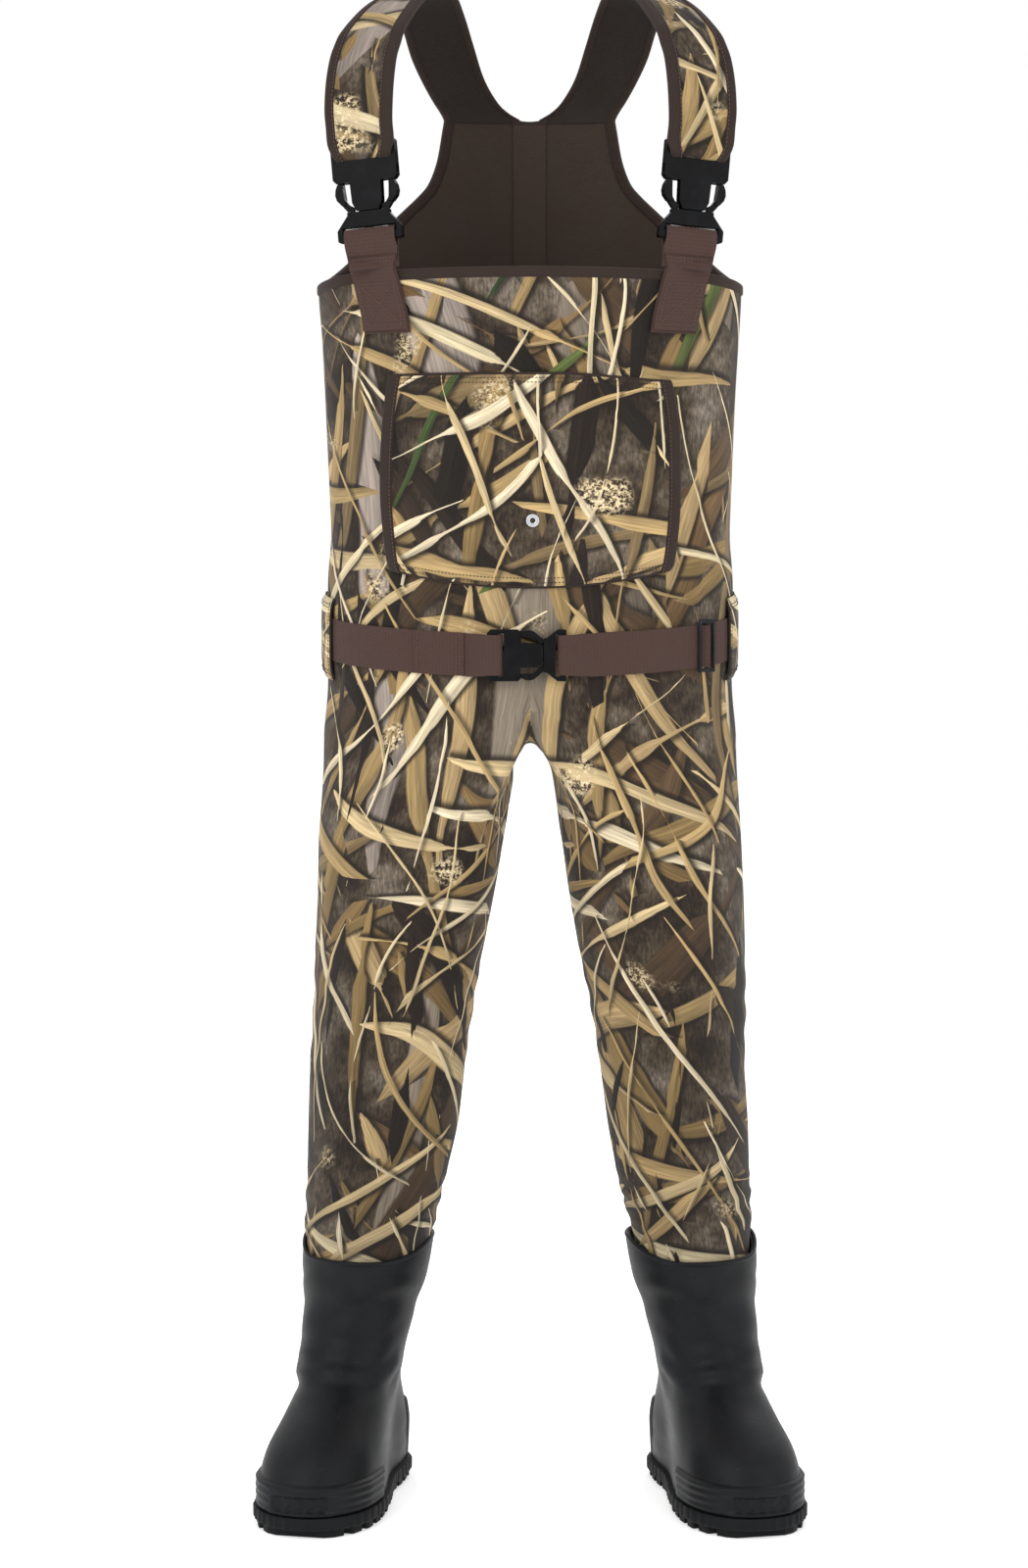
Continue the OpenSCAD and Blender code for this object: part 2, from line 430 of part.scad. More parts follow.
module boot_toe_bumper(s) color("#232427") place() side(s) {
    cols = concat([for (u = TOE_U) [u, -1]], [[1, 1]], [for (k = [len(TOE_U) - 1:-1:0]) [TOE_U[k], 1]]);
    slab([for (z = [17, 28, 40, 42]) [for (c = cols) boot_pt(c[0], c[1], z, z, 3.2)]],
         [for (z = [17, 28, 40, 42]) [for (c = cols) boot_pt(c[0], c[1], z, z, 0.8)]]);
}
HEEL_U = [0.2, 0.12, 0.05, 0.012];
module boot_heel_counter(s) color("#232427") place() side(s) {
    cols = concat([for (u = HEEL_U) [u, 1]], [[0, 1]], [for (k = [len(HEEL_U) - 1:-1:0]) [HEEL_U[k], -1]]);
    slab([for (z = [17, 34, 50, 66]) [for (c = cols) boot_pt(c[0], c[1], z, z, 2.8)]],
         [for (z = [17, 34, 50, 66]) [for (c = cols) boot_pt(c[0], c[1], z, z, 0.7)]]);
}
module left_boot_upper() boot_upper(1);
module right_boot_upper() boot_upper(-1);
module left_boot_outsole() boot_outsole(1);
module right_boot_outsole() boot_outsole(-1);
module left_boot_insole() boot_insole(1);
module right_boot_insole() boot_insole(-1);
module left_boot_seam_band() boot_seam_band(1);
module right_boot_seam_band() boot_seam_band(-1);
module left_boot_toe_bumper() boot_toe_bumper(1);
module right_boot_toe_bumper() boot_toe_bumper(-1);
module left_boot_heel_counter() boot_heel_counter(1);
module right_boot_heel_counter() boot_heel_counter(-1);

torso_front_panel();
torso_back_panel();
crotch_gusset();
back_seam_tape();
chest_binding();
left_armhole_binding();
right_armhole_binding();
neckline_binding();
pocket_pouch();
left_pocket_binding();
right_pocket_binding();
pocket_drain_eyelet();
left_shoulder_strap();
right_shoulder_strap();
left_strap_lower();
right_strap_lower();
left_strap_end();
right_strap_end();
left_chest_tab();
right_chest_tab();
left_buckle_plug();
right_buckle_plug();
left_buckle_socket();
right_buckle_socket();
left_latch_arm_outer();
left_latch_arm_inner();
right_latch_arm_outer();
right_latch_arm_inner();
belt_buckle_plug();
belt_buckle_socket();
belt_latch_arm_upper();
belt_latch_arm_lower();
belt_webbing_back();
belt_webbing_left();
belt_webbing_right();
belt_webbing_tail();
belt_slider();
belt_loop_left();
belt_loop_right();
belt_loop_back();
left_hip_section();
right_hip_section();
left_thigh();
right_thigh();
left_knee_section();
right_knee_section();
left_shin();
right_shin();
left_boot_upper();
right_boot_upper();
left_boot_outsole();
right_boot_outsole();
left_boot_insole();
right_boot_insole();
left_boot_seam_band();
right_boot_seam_band();
left_boot_toe_bumper();
right_boot_toe_bumper();
left_boot_heel_counter();
right_boot_heel_counter();
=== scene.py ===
import bpy, math
import numpy as np
from mathutils import Vector, Matrix


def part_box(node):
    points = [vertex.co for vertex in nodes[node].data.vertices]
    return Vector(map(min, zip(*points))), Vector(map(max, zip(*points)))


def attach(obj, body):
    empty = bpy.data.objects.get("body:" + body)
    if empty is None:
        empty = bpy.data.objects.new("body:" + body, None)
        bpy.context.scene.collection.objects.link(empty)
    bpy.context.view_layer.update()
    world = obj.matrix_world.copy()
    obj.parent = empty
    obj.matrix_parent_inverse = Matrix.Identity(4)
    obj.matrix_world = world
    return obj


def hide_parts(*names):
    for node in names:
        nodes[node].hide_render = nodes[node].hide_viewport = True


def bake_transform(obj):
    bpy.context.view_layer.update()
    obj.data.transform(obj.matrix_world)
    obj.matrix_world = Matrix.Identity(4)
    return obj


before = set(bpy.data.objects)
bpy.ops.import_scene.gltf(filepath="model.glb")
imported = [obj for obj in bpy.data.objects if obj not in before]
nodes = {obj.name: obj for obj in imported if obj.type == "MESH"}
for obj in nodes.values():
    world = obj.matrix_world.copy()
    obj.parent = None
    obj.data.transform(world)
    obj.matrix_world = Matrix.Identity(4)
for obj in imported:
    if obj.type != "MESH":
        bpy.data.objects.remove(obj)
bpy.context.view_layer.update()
HANG = 1235.0  # millimetres from the soles up to the strap tops


# ------------------------------------------------------------------ camera, floor and light
cam_data = bpy.data.cameras.new("camera")
cam_data.lens = 78.75
cam_data.sensor_width = 36.0
camera = bpy.data.objects.new("camera", cam_data)
bpy.context.scene.collection.objects.link(camera)
camera.location = (-0.013, -2.8, -0.485)
camera.rotation_euler = (math.radians(86.68), 0.0, 0.0)
bpy.context.scene.camera = camera
bpy.context.scene.view_settings.view_transform = "Standard"

floor_z = min(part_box("left_boot_outsole")[0].z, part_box("right_boot_outsole")[0].z)
fm = bpy.data.meshes.new("floor")
fm.from_pydata([(-9, -7, 0), (9, -7, 0), (9, 9, 0), (-9, 9, 0)], [], [(0, 1, 2, 3)])
floor = bpy.data.objects.new("floor", fm)
floor.location = (0, 0, floor_z - 0.0004)
bpy.context.scene.collection.objects.link(floor)
paper = bpy.data.materials.new("studio_floor")
paper.use_nodes = True
pb = paper.node_tree.nodes["Principled BSDF"]
pb.inputs["Base Color"].default_value = (0.9, 0.9, 0.9, 1.0)
pb.inputs["Roughness"].default_value = 1.0
pb.inputs["Specular IOR Level"].default_value = 0.0
pb.inputs["Emission Color"].default_value = (1.0, 1.0, 1.0, 1.0)
pb.inputs["Emission Strength"].default_value = 0.42
fm.materials.append(paper)

world = bpy.data.worlds.new("studio")
world.use_nodes = True
world.node_tree.nodes["Background"].inputs["Color"].default_value = (1.0, 1.0, 1.0, 1.0)
world.node_tree.nodes["Background"].inputs["Strength"].default_value = 1.0
bpy.context.scene.world = world


def area(name, loc, target, size, power, size_y=None):
    ld = bpy.data.lights.new(name, "AREA")
    ld.energy = power
    ld.size = size
    if size_y:
        ld.shape = "RECTANGLE"
        ld.size_y = size_y
    o = bpy.data.objects.new(name, ld)
    bpy.context.scene.collection.objects.link(o)
    o.location = loc
    o.rotation_mode = "QUATERNION"
    o.rotation_quaternion = (Vector(target) - Vector(loc)).to_track_quat("-Z", "Y")


area("key", (-1.5, -2.3, 1.1), (0, 0, -0.55), 1.2, 26, 1.6)
area("fill", (1.9, -2.0, 0.2), (0, 0, -0.7), 1.3, 11, 1.8)
area("back_soft", (0.6, 2.4, 0.9), (0, 0, -0.5), 1.6, 14, 1.6)


# ------------------------------------------------------------------ node materials
def lin(hexa):
    v = [int(hexa[i:i + 2], 16) / 255 for i in (1, 3, 5)]
    return tuple(c / 12.92 if c <= 0.04045 else ((c + 0.055) / 1.055) ** 2.4 for c in v) + (1.0,)


class Nodes:
    """Short calls for building a node tree."""

    def __init__(self, tree):
        self.t = tree

    def new(self, kind, **kw):
        n = self.t.nodes.new(kind)
        for k, v in kw.items():
            setattr(n, k, v)
        return n

    def put(self, sock, v):
        if isinstance(v, bpy.types.NodeSocket):
            self.t.links.new(v, sock)
        elif v is not None:
            sock.default_value = v

    def m(self, op, a, b=None, c=None, clamp=False):
        n = self.new("ShaderNodeMath", operation=op, use_clamp=clamp)
        for s, v in zip(n.inputs, (a, b, c)):
            self.put(s, v)
        return n.outputs[0]

    def ramp01(self, v, lo, hi):
        """Smooth step from 0 at lo to 1 at hi."""
        n = self.new("ShaderNodeMapRange", interpolation_type="SMOOTHSTEP")
        self.put(n.inputs["Value"], v)
        self.put(n.inputs["From Min"], lo)
        self.put(n.inputs["From Max"], hi)
        return n.outputs["Result"]

    def lerp(self, v, lo, hi, a, b):
        n = self.new("ShaderNodeMapRange")
        self.put(n.inputs["Value"], v)
        for k, x in (("From Min", lo), ("From Max", hi), ("To Min", a), ("To Max", b)):
            self.put(n.inputs[k], x)
        return n.outputs["Result"]

    def mix(self, f, a, b, blend="MIX"):
        n = self.new("ShaderNodeMix", data_type="RGBA", blend_type=blend)
        self.put(n.inputs[0], f)
        self.put(n.inputs[6], a)
        self.put(n.inputs[7], b)
        return n.outputs[2]

    def xyz(self, x, y, z=0.0):
        n = self.new("ShaderNodeCombineXYZ")
        for s, v in zip(n.inputs, (x, y, z)):
            self.put(s, v)
        return n.outputs[0]

    def split(self, v):
        n = self.new("ShaderNodeSeparateXYZ")
        self.put(n.inputs[0], v)
        return n.outputs

    def noise(self, vec, scale, detail=2.0, rough=0.5, dim="3D"):
        n = self.new("ShaderNodeTexNoise", noise_dimensions=dim)
        self.put(n.inputs["Vector"], vec)
        n.inputs["Scale"].default_value = scale
        n.inputs["Detail"].default_value = detail
        n.inputs["Roughness"].default_value = rough
        return n.outputs

    def vadd(self, a, b):
        n = self.new("ShaderNodeVectorMath", operation="ADD")
        self.put(n.inputs[0], a)
        self.put(n.inputs[1], b)
        return n.outputs[0]

    def vscale(self, a, b):
        n = self.new("ShaderNodeVectorMath", operation="MULTIPLY")
        self.put(n.inputs[0], a)
        self.put(n.inputs[1], b)
        return n.outputs[0]

    def ramp(self, v, stops, mode="LINEAR"):
        n = self.new("ShaderNodeValToRGB")
        n.color_ramp.interpolation = mode
        el = n.color_ramp.elements
        while len(el) > 1:
            el.remove(el[0])
        el[0].position, el[0].color = stops[0][0], lin(stops[0][1])
        for p, c in stops[1:]:
            e = el.new(p)
            e.color = lin(c)
        self.put(n.inputs[0], v)
        return n.outputs[0]


def material(name):
    mat = bpy.data.materials.new(name)
    mat.use_nodes = True
    t = mat.node_tree
    bsdf = next(n for n in t.nodes if n.type == "BSDF_PRINCIPLED")
    return mat, Nodes(t), bsdf


def coords(N, uv):
    n = N.new("ShaderNodeTexCoord")
    return n.outputs["UV" if uv else "Object"]


def bump(N, bsdf, height, dist, strength=1.0):
    b = N.new("ShaderNodeBump")
    b.inputs["Strength"].default_value = strength
    b.inputs["Distance"].default_value = dist
    N.put(b.inputs["Height"], height)
    N.t.links.new(b.outputs[0], bsdf.inputs["Normal"])


def blade_group():
    """One layer of blades: a cell pattern turned by Angle, each cell holding one leaf of its own tilt, bend and length."""
    g = bpy.data.node_groups.new("reed_blades", "ShaderNodeTree")
    for n, k in (("UV", "NodeSocketVector"), ("Angle", "NodeSocketFloat"), ("CellU", "NodeSocketFloat"),
                 ("CellV", "NodeSocketFloat"), ("Seed", "NodeSocketFloat"), ("Half", "NodeSocketFloat"),
                 ("Presence", "NodeSocketFloat"), ("Bend", "NodeSocketFloat"), ("Room", "NodeSocketFloat")):
        g.interface.new_socket(name=n, in_out="INPUT", socket_type=k)
    for n in ("Mask", "Shade", "Random", "Shadow"):
        g.interface.new_socket(name=n, in_out="OUTPUT", socket_type="NodeSocketFloat")
    N = Nodes(g)
    i = N.new("NodeGroupInput").outputs
    o = N.new("NodeGroupOutput").inputs
    u, v, _ = N.split(i["UV"])
    ca, sa = N.m("COSINE", i["Angle"]), N.m("SINE", i["Angle"])
    ru = N.m("ADD", N.m("MULTIPLY", u, ca), N.m("MULTIPLY", v, sa))
    rv = N.m("SUBTRACT", N.m("MULTIPLY", v, ca), N.m("MULTIPLY", u, sa))
    pu = N.m("ADD", N.m("DIVIDE", ru, i["CellU"]), i["Seed"])
    pv = N.m("ADD", N.m("DIVIDE", rv, i["CellV"]), N.m("MULTIPLY", i["Seed"], 1.7))
    vor = N.new("ShaderNodeTexVoronoi", voronoi_dimensions="2D", feature="F1")
    vor.inputs["Scale"].default_value = 1.0
    vor.inputs["Randomness"].default_value = 0.85
    N.put(vor.inputs["Vector"], N.xyz(pu, pv))
    cx, cy, _ = N.split(vor.outputs["Position"])
    dx = N.m("MULTIPLY", N.m("SUBTRACT", pu, cx), i["CellU"])
    dy = N.m("MULTIPLY", N.m("SUBTRACT", pv, cy), i["CellV"])
    sc = N.new("ShaderNodeSeparateColor")
    N.put(sc.inputs[0], vor.outputs["Color"])
    r, gg, b = sc.outputs
    half_len = N.m("MULTIPLY", i["CellV"], N.m("MULTIPLY_ADD", b, 0.26, 0.34))
    y01 = N.m("DIVIDE", dy, half_len)
    y2 = N.m("MULTIPLY", y01, y01)
    tilt = N.m("MULTIPLY", N.m("SUBTRACT", r, 0.5), 0.42)
    bent = N.m("MULTIPLY", N.m("MULTIPLY", N.m("SUBTRACT", gg, 0.5), i["Bend"]), y2)
    d2 = N.m("SUBTRACT", N.m("SUBTRACT", dx, N.m("MULTIPLY", dy, tilt)), bent)
    env = N.m("SUBTRACT", 1.0, N.m("MULTIPLY", y2, N.m("MULTIPLY_ADD", y01, 0.25, 0.85)), clamp=True)
    rnd = N.m("FRACT", N.m("ADD", N.m("MULTIPLY", r, 7.31), N.m("MULTIPLY", gg, 3.77)))
    rnd2 = N.m("FRACT", N.m("ADD", N.m("MULTIPLY", b, 5.13), N.m("MULTIPLY", r, 9.71)))
    w = N.m("MULTIPLY", N.m("MULTIPLY", i["Half"], N.m("MULTIPLY_ADD", rnd2, 0.9, 0.55)), N.m("POWER", env, 0.65))
    w = N.m("MULTIPLY", w, i["Room"])
    streak = N.noise(N.xyz(N.m("MULTIPLY", d2, 780.0), N.m("MULTIPLY", dy, 30.0), N.m("MULTIPLY", rnd, 40.0)), 1.0, 2.0, 0.6)[0]
    edge = N.m("ADD", N.m("ABSOLUTE", d2), N.m("MULTIPLY", N.m("SUBTRACT", streak, 0.5), 0.0030))
    here = N.m("LESS_THAN", N.m("FRACT", N.m("MULTIPLY", N.m("ADD", r, b), 4.19)), i["Presence"])
    safe_w = N.m("MAXIMUM", w, 0.00005)
    ratio = N.m("DIVIDE", edge, safe_w)
    mask = N.m("MULTIPLY", N.m("SUBTRACT", 1.0, N.ramp01(ratio, 0.86, 1.08)), here)
    mask = N.m("MULTIPLY", mask, N.m("GREATER_THAN", w, 0.0002))
    across = N.m("DIVIDE", d2, safe_w)
    side = N.m("MULTIPLY_ADD", across, -0.20, 0.86)
    ridge = N.m("MULTIPLY", N.m("SUBTRACT", 1.0, N.ramp01(N.m("ABSOLUTE", N.m("ADD", across, 0.25)), 0.02, 0.24)), 0.16)
    shade = N.m("ADD", N.m("ADD", side, ridge), N.m("MULTIPLY", N.m("SUBTRACT", streak, 0.5), 1.35))
    shade = N.m("MULTIPLY", shade, N.lerp(dy, N.m("MULTIPLY", half_len, -1.0), half_len, 0.72, 1.12))
    sx = N.m("ABSOLUTE", N.m("SUBTRACT", d2, 0.0028))
    shadow = N.m("SUBTRACT", 1.0, N.ramp01(N.m("SUBTRACT", sx, w), -0.0015, 0.0035))
    shadow = N.m("MULTIPLY", N.m("MULTIPLY", shadow, here), N.m("GREATER_THAN", w, 0.0006))
    for k, s in (("Mask", mask), ("Shade", shade), ("Random", rnd), ("Shadow", shadow)):
        N.put(o[k], s)
    return g


BLADES = blade_group()
CREAM = [(0.0, "#e6d9b4"), (0.25, "#cdb98a"), (0.5, "#b89f6c"), (0.75, "#dccfa6"), (1.0, "#a58d5e")]
TAN = [(0.0, "#a18a5c"), (0.22, "#8a7449"), (0.45, "#b79f70"), (0.7, "#7c6a48"), (1.0, "#94805a")]
BROWN = [(0.0, "#6d5637"), (0.25, "#57452f"), (0.5, "#7f6842"), (0.75, "#4a3a28"), (1.0, "#8c7145")]
GREY = [(0.0, "#8d8371"), (0.3, "#746a5b"), (0.55, "#a2978a"), (0.8, "#665b4d"), (1.0, "#91826c")]
DARK = [(0.0, "#241b14"), (0.4, "#33281d"), (0.7, "#1d1710"), (1.0, "#3d3123")]
GREEN = [(0.0, "#45582e"), (0.4, "#5d6b38"), (0.7, "#36492a"), (1.0, "#6f7748")]
LAYERS = [
    # angle, cell across, cell along, seed, half width, presence, bend, colours, shadow
    (4, 0.100, 0.340, 3.1, 0.0230, 0.60, 0.006, GREY, 0.55),
    (52, 0.062, 0.240, 11.7, 0.0125, 0.60, 0.030, BROWN, 0.75),
    (-38, 0.060, 0.250, 23.3, 0.0115, 0.62, 0.030, BROWN, 0.75),
    (20, 0.050, 0.260, 31.9, 0.0092, 0.60, 0.030, TAN, 0.85),
    (-68, 0.046, 0.240, 43.1, 0.0080, 0.54, 0.030, TAN, 0.85),
    (38, 0.046, 0.200, 57.3, 0.0095, 0.46, 0.018, DARK, 0.3),
    (-12, 0.040, 0.240, 61.7, 0.0062, 0.50, 0.034, TAN, 0.9),
    (-35, 0.080, 0.210, 71.9, 0.0052, 0.22, 0.016, GREEN, 0.8),
    (72, 0.036, 0.230, 83.3, 0.0050, 0.46, 0.034, CREAM, 0.9),
    (-4, 0.046, 0.180, 97.1, 0.0075, 0.42, 0.030, DARK, 0.2),
    (-56, 0.038, 0.210, 101.3, 0.0042, 0.46, 0.040, CREAM, 0.9),
    (16, 0.034, 0.240, 113.9, 0.0036, 0.42, 0.044, CREAM, 0.9),
    (34, 0.048, 0.260, 139.7, 0.0016, 0.60, 0.080, CREAM, 0.7),
    (-14, 0.040, 0.240, 151.3, 0.0013, 0.55, 0.070, CREAM, 0.7),
]


def camo(name, shift=0.0, tone=1.0):
    """Printed knit face of the neoprene: mud and bark ground, then layers of dry reeds and grass with their shadows."""
    mat, N, bsdf = material(name)
    uv = coords(N, True)
    uv = N.vadd(uv, (shift, shift * 0.37, 0.0))
    warp = N.noise(uv, 5.5, 1.0, 0.5)[1]
    wx, wy, _ = N.split(warp)
    p = N.vadd(uv, N.xyz(N.m("MULTIPLY", N.m("SUBTRACT", wx, 0.5), 0.050), N.m("MULTIPLY", N.m("SUBTRACT", wy, 0.5), 0.050)))
    ground = N.ramp(N.noise(uv, 16.0, 4.0, 0.62)[0],
                    [(0.30, "#241b13"), (0.42, "#3a2e22"), (0.52, "#5c503f"), (0.62, "#857a68"), (0.74, "#a3988a")])
    grain = N.noise(N.vscale(uv, (420.0, 130.0, 1.0)), 1.0, 3.0, 0.7)[0]
    ground = N.mix(0.85, ground, N.ramp(grain, [(0.30, "#3c3c3c"), (0.5, "#b4b4b4"), (0.72, "#ffffff")]), "MULTIPLY")
    col = ground
    patch = N.noise(uv, 8.5, 2.0, 0.5)[0]
    room_a = N.ramp01(patch, 0.40, 0.54)
    room_b = N.m("SUBTRACT", 1.15, N.ramp01(patch, 0.48, 0.62))
    for k, (ang, cu, cv, seed, half, pres, bend, pal, shad) in enumerate(LAYERS):
        g = N.new("ShaderNodeGroup")
        g.node_tree = BLADES
        N.put(g.inputs["UV"], p if k % 3 else uv)
        for key, val in (("Angle", math.radians(ang)), ("CellU", cu), ("CellV", cv), ("Seed", seed), ("Half", half),
                         ("Presence", pres), ("Bend", bend)):
            g.inputs[key].default_value = val
        if k in (0, 7):
            g.inputs["Room"].default_value = 1.0
        else:
            N.put(g.inputs["Room"], room_a if k % 2 else room_b)
        col = N.mix(N.m("MULTIPLY", g.outputs["Shadow"], shad), col, lin("#1c150e"))
        leaf = N.ramp(g.outputs["Random"], pal, "CONSTANT")
        leaf = N.mix(1.0, leaf, N.xyz(g.outputs["Shade"], g.outputs["Shade"], g.outputs["Shade"]), "MULTIPLY")
        col = N.mix(g.outputs["Mask"], col, leaf)
    # seed heads: soft pale tufts
    tuft = N.noise(uv, 13.0, 1.0, 0.5)[0]
    frizz = N.noise(uv, 260.0, 3.0, 0.75)[0]
    tm = N.m("MULTIPLY", N.ramp01(tuft, 0.66, 0.73), N.ramp01(frizz, 0.44, 0.56))
    col = N.mix(tm, col, N.ramp(frizz, [(0.4, "#7b6440"), (0.55, "#cdbb90"), (0.7, "#efe6c8")]))
    # print softened by the knit, then painted shade: darker towards the bottom of the legs
    knit_u = N.m("SINE", N.m("MULTIPLY", N.split(uv)[0], 2 * math.pi / 0.0011))
    knit_v = N.m("SINE", N.m("MULTIPLY", N.split(uv)[1], 2 * math.pi / 0.0011))
    knit = N.m("MULTIPLY", knit_u, knit_v)
    fade = N.noise(uv, 900.0, 2.0, 0.6)[0]
    lum = N.m("MULTIPLY", N.m("ADD", N.m("MULTIPLY", N.m("SUBTRACT", fade, 0.5), 0.16), N.m("MULTIPLY_ADD", knit, 0.03, 1.0)), tone)
    # painted shade: the colour falls to 0.66 towards low UV v, the bottom of the legs, where the light falls off
    lum = N.m("MULTIPLY", lum, N.lerp(N.split(uv)[1], 0.22 + shift * 0.37, 0.56 + shift * 0.37, 0.66, 1.0))
    col = N.mix(1.0, col, N.xyz(lum, N.m("MULTIPLY", lum, 0.955), N.m("MULTIPLY", lum, 0.975)), "MULTIPLY")
    N.put(bsdf.inputs["Base Color"], col)
    N.put(bsdf.inputs["Roughness"], N.lerp(fade, 0.3, 0.7, 0.74, 0.92))
    bsdf.inputs["Specular IOR Level"].default_value = 0.28
    bsdf.inputs["Sheen Weight"].default_value = 0.06
    bsdf.inputs["Sheen Roughness"].default_value = 0.5
    bump(N, bsdf, N.m("ADD", N.m("MULTIPLY", knit, 0.5), N.m("MULTIPLY", fade, 1.2)), 0.00022, 0.7)
    return mat


def woven(name, base, dark, pitch_u, pitch_v, uv=True, rough=0.8, sheen=0.04, depth=0.0003, wear="#8a7a70"):
    """Tape or webbing: ribs across the width, darker gaps, and a little lint and wear."""
    mat, N, bsdf = material(name)
    c = coords(N, uv)
    u, v, w = N.split(c)
    a = N.m("SINE", N.m("MULTIPLY", u, 2 * math.pi / pitch_u))
    if uv:
        b = N.m("SINE", N.m("MULTIPLY_ADD", v, 2 * math.pi / pitch_v, N.m("MULTIPLY", a, 0.6)))
    else:
        b = N.m("SINE", N.m("MULTIPLY", w, 2 * math.pi / pitch_v))
    h = N.m("MULTIPLY_ADD", N.m("MULTIPLY", a, b), 0.5, 0.5)
    broad = N.noise(c, 30.0, 3.0, 0.6)[0]
    lint = N.noise(c, 1300.0, 2.0, 0.7)[0]
    f = N.m("ADD", N.m("MULTIPLY", h, 0.55), N.m("MULTIPLY", broad, 0.45), clamp=True)
    col = N.mix(f, lin(dark), lin(base))
    col = N.mix(N.m("MULTIPLY", N.ramp01(lint, 0.62, 0.8), 0.35), col, lin(wear))
    N.put(bsdf.inputs["Base Color"], col)
    N.put(bsdf.inputs["Roughness"], N.lerp(broad, 0.3, 0.7, rough - 0.08, rough + 0.08))
    bsdf.inputs["Specular IOR Level"].default_value = 0.3
    bsdf.inputs["Sheen Weight"].default_value = sheen
    bsdf.inputs["Sheen Roughness"].default_value = 0.45
    bump(N, bsdf, N.m("ADD", h, N.m("MULTIPLY", lint, 0.5)), depth, 0.9)
    return mat


def rubber(name, base, light, uv=True, rough=0.5, depth=0.0004):
    """Matte moulded rubber: faint clouding, a fine grain in the bump, small scuffs."""
    mat, N, bsdf = material(name)
    c = coords(N, uv)
    cloud = N.noise(c, 14.0, 4.0, 0.6)[0]
    grain = N.noise(c, 1500.0, 2.0, 0.6)[0]
    scuff = N.noise(N.vscale(c, (60.0, 320.0, 60.0)), 1.0, 4.0, 0.75)[0]
    col = N.mix(N.ramp01(cloud, 0.35, 0.7), lin(base), lin(light))
    col = N.mix(N.m("MULTIPLY", N.ramp01(scuff, 0.62, 0.78), 0.22), col, lin("#6a6c70"))
    N.put(bsdf.inputs["Base Color"], col)
    N.put(bsdf.inputs["Roughness"], N.lerp(N.m("ADD", cloud, N.m("MULTIPLY", scuff, 0.4)), 0.45, 0.95, rough - 0.06, rough + 0.14))
    bsdf.inputs["Specular IOR Level"].default_value = 0.15
    bump(N, bsdf, N.m("ADD", N.m("MULTIPLY", grain, 0.5), N.m("MULTIPLY", cloud, 0.7)), depth, 0.6)
    return mat


def plastic(name, base, light, rough=0.34):
    """Moulded buckle plastic: fine spark-eroded grain with polished rub marks."""
    mat, N, bsdf = material(name)
    c = coords(N, False)
    grain = N.noise(c, 2600.0, 2.0, 0.6)[0]
    rub = N.noise(c, 70.0, 3.0, 0.6)[0]
    col = N.mix(N.ramp01(rub, 0.4, 0.75), lin(base), lin(light))
    N.put(bsdf.inputs["Base Color"], col)
    N.put(bsdf.inputs["Roughness"], N.lerp(rub, 0.3, 0.7, rough - 0.06, rough + 0.1))
    bsdf.inputs["Specular IOR Level"].default_value = 0.11
    bump(N, bsdf, grain, 0.00006, 0.6)
    return mat


def foam(name, base, dark):
    mat, N, bsdf = material(name)
    c = coords(N, False)
    cell = N.new("ShaderNodeTexVoronoi")
    cell.inputs["Scale"].default_value = 900.0
    N.put(cell.inputs["Vector"], c)
    N.put(bsdf.inputs["Base Color"], N.mix(N.ramp01(cell.outputs["Distance"], 0.1, 0.7), lin(dark), lin(base)))
    N.put(bsdf.inputs["Roughness"], N.lerp(cell.outputs["Distance"], 0.0, 0.8, 0.82, 0.95))
    bump(N, bsdf, cell.outputs["Distance"], 0.0003, 0.6)
    return mat


def metal(name):
    mat, N, bsdf = material(name)
    c = coords(N, False)
    n = N.noise(N.vscale(c, (900.0, 900.0, 60.0)), 1.0, 3.0, 0.6)[0]
    N.put(bsdf.inputs["Base Color"], N.mix(n, lin("#b9bcc0"), lin("#e3e5e8")))
    bsdf.inputs["Metallic"].default_value = 1.0
    N.put(bsdf.inputs["Roughness"], N.lerp(n, 0.3, 0.7, 0.14, 0.3))
    bump(N, bsdf, n, 0.00005, 0.4)
    return mat


def thread(name, base, dark):
    mat, N, bsdf = material(name)
    c = coords(N, True)
    u, v, _ = N.split(c)
    tw = N.m("SINE", N.m("ADD", N.m("MULTIPLY", u, 2 * math.pi / 0.0007), N.m("MULTIPLY", v, 6.0)))
    N.put(bsdf.inputs["Base Color"], N.mix(N.m("MULTIPLY_ADD", tw, 0.5, 0.5), lin(dark), lin(base)))
    N.put(bsdf.inputs["Roughness"], N.lerp(tw, -1.0, 1.0, 0.6, 0.78))
    bump(N, bsdf, tw, 0.0001, 0.8)
    return mat


M_CAMO = camo("camo_neoprene")
M_CAMO_B = camo("camo_neoprene_pocket", 1.37, 1.06)
M_LINING = woven("lining_knit", "#40332a", "#281f19", 0.0018, 0.0018, depth=0.00022, wear="#57493e")
# painted shade: a darker copy of the lining knit, for the straps' inner faces, which lie in shade
M_LINING_SHADED = woven("lining_knit_straps_painted_shade", "#2b211b", "#1a1310", 0.0018, 0.0018, depth=0.00022, wear="#40342b")
M_BIND = woven("binding_tape", "#35261f", "#1e1511", 0.0013, 0.0026, depth=0.0003, wear="#55443d")
M_WEB = woven("webbing_brown", "#523a33", "#33231f", 0.0016, 0.0030, depth=0.0005, wear="#7d6660")
M_TAPE_OBJ = woven("seam_tape_carried", "#43362d", "#2b221c", 0.0018, 0.0018, uv=False, depth=0.0002, wear="#57493e")
M_NEO = foam("neoprene_cut_edge", "#2b2420", "#1c1714")
M_RUBBER = rubber("boot_rubber", "#0e0f11", "#191a1d", rough=0.42)
M_SOLE = rubber("outsole_rubber", "#0c0d0f", "#151618", rough=0.6)
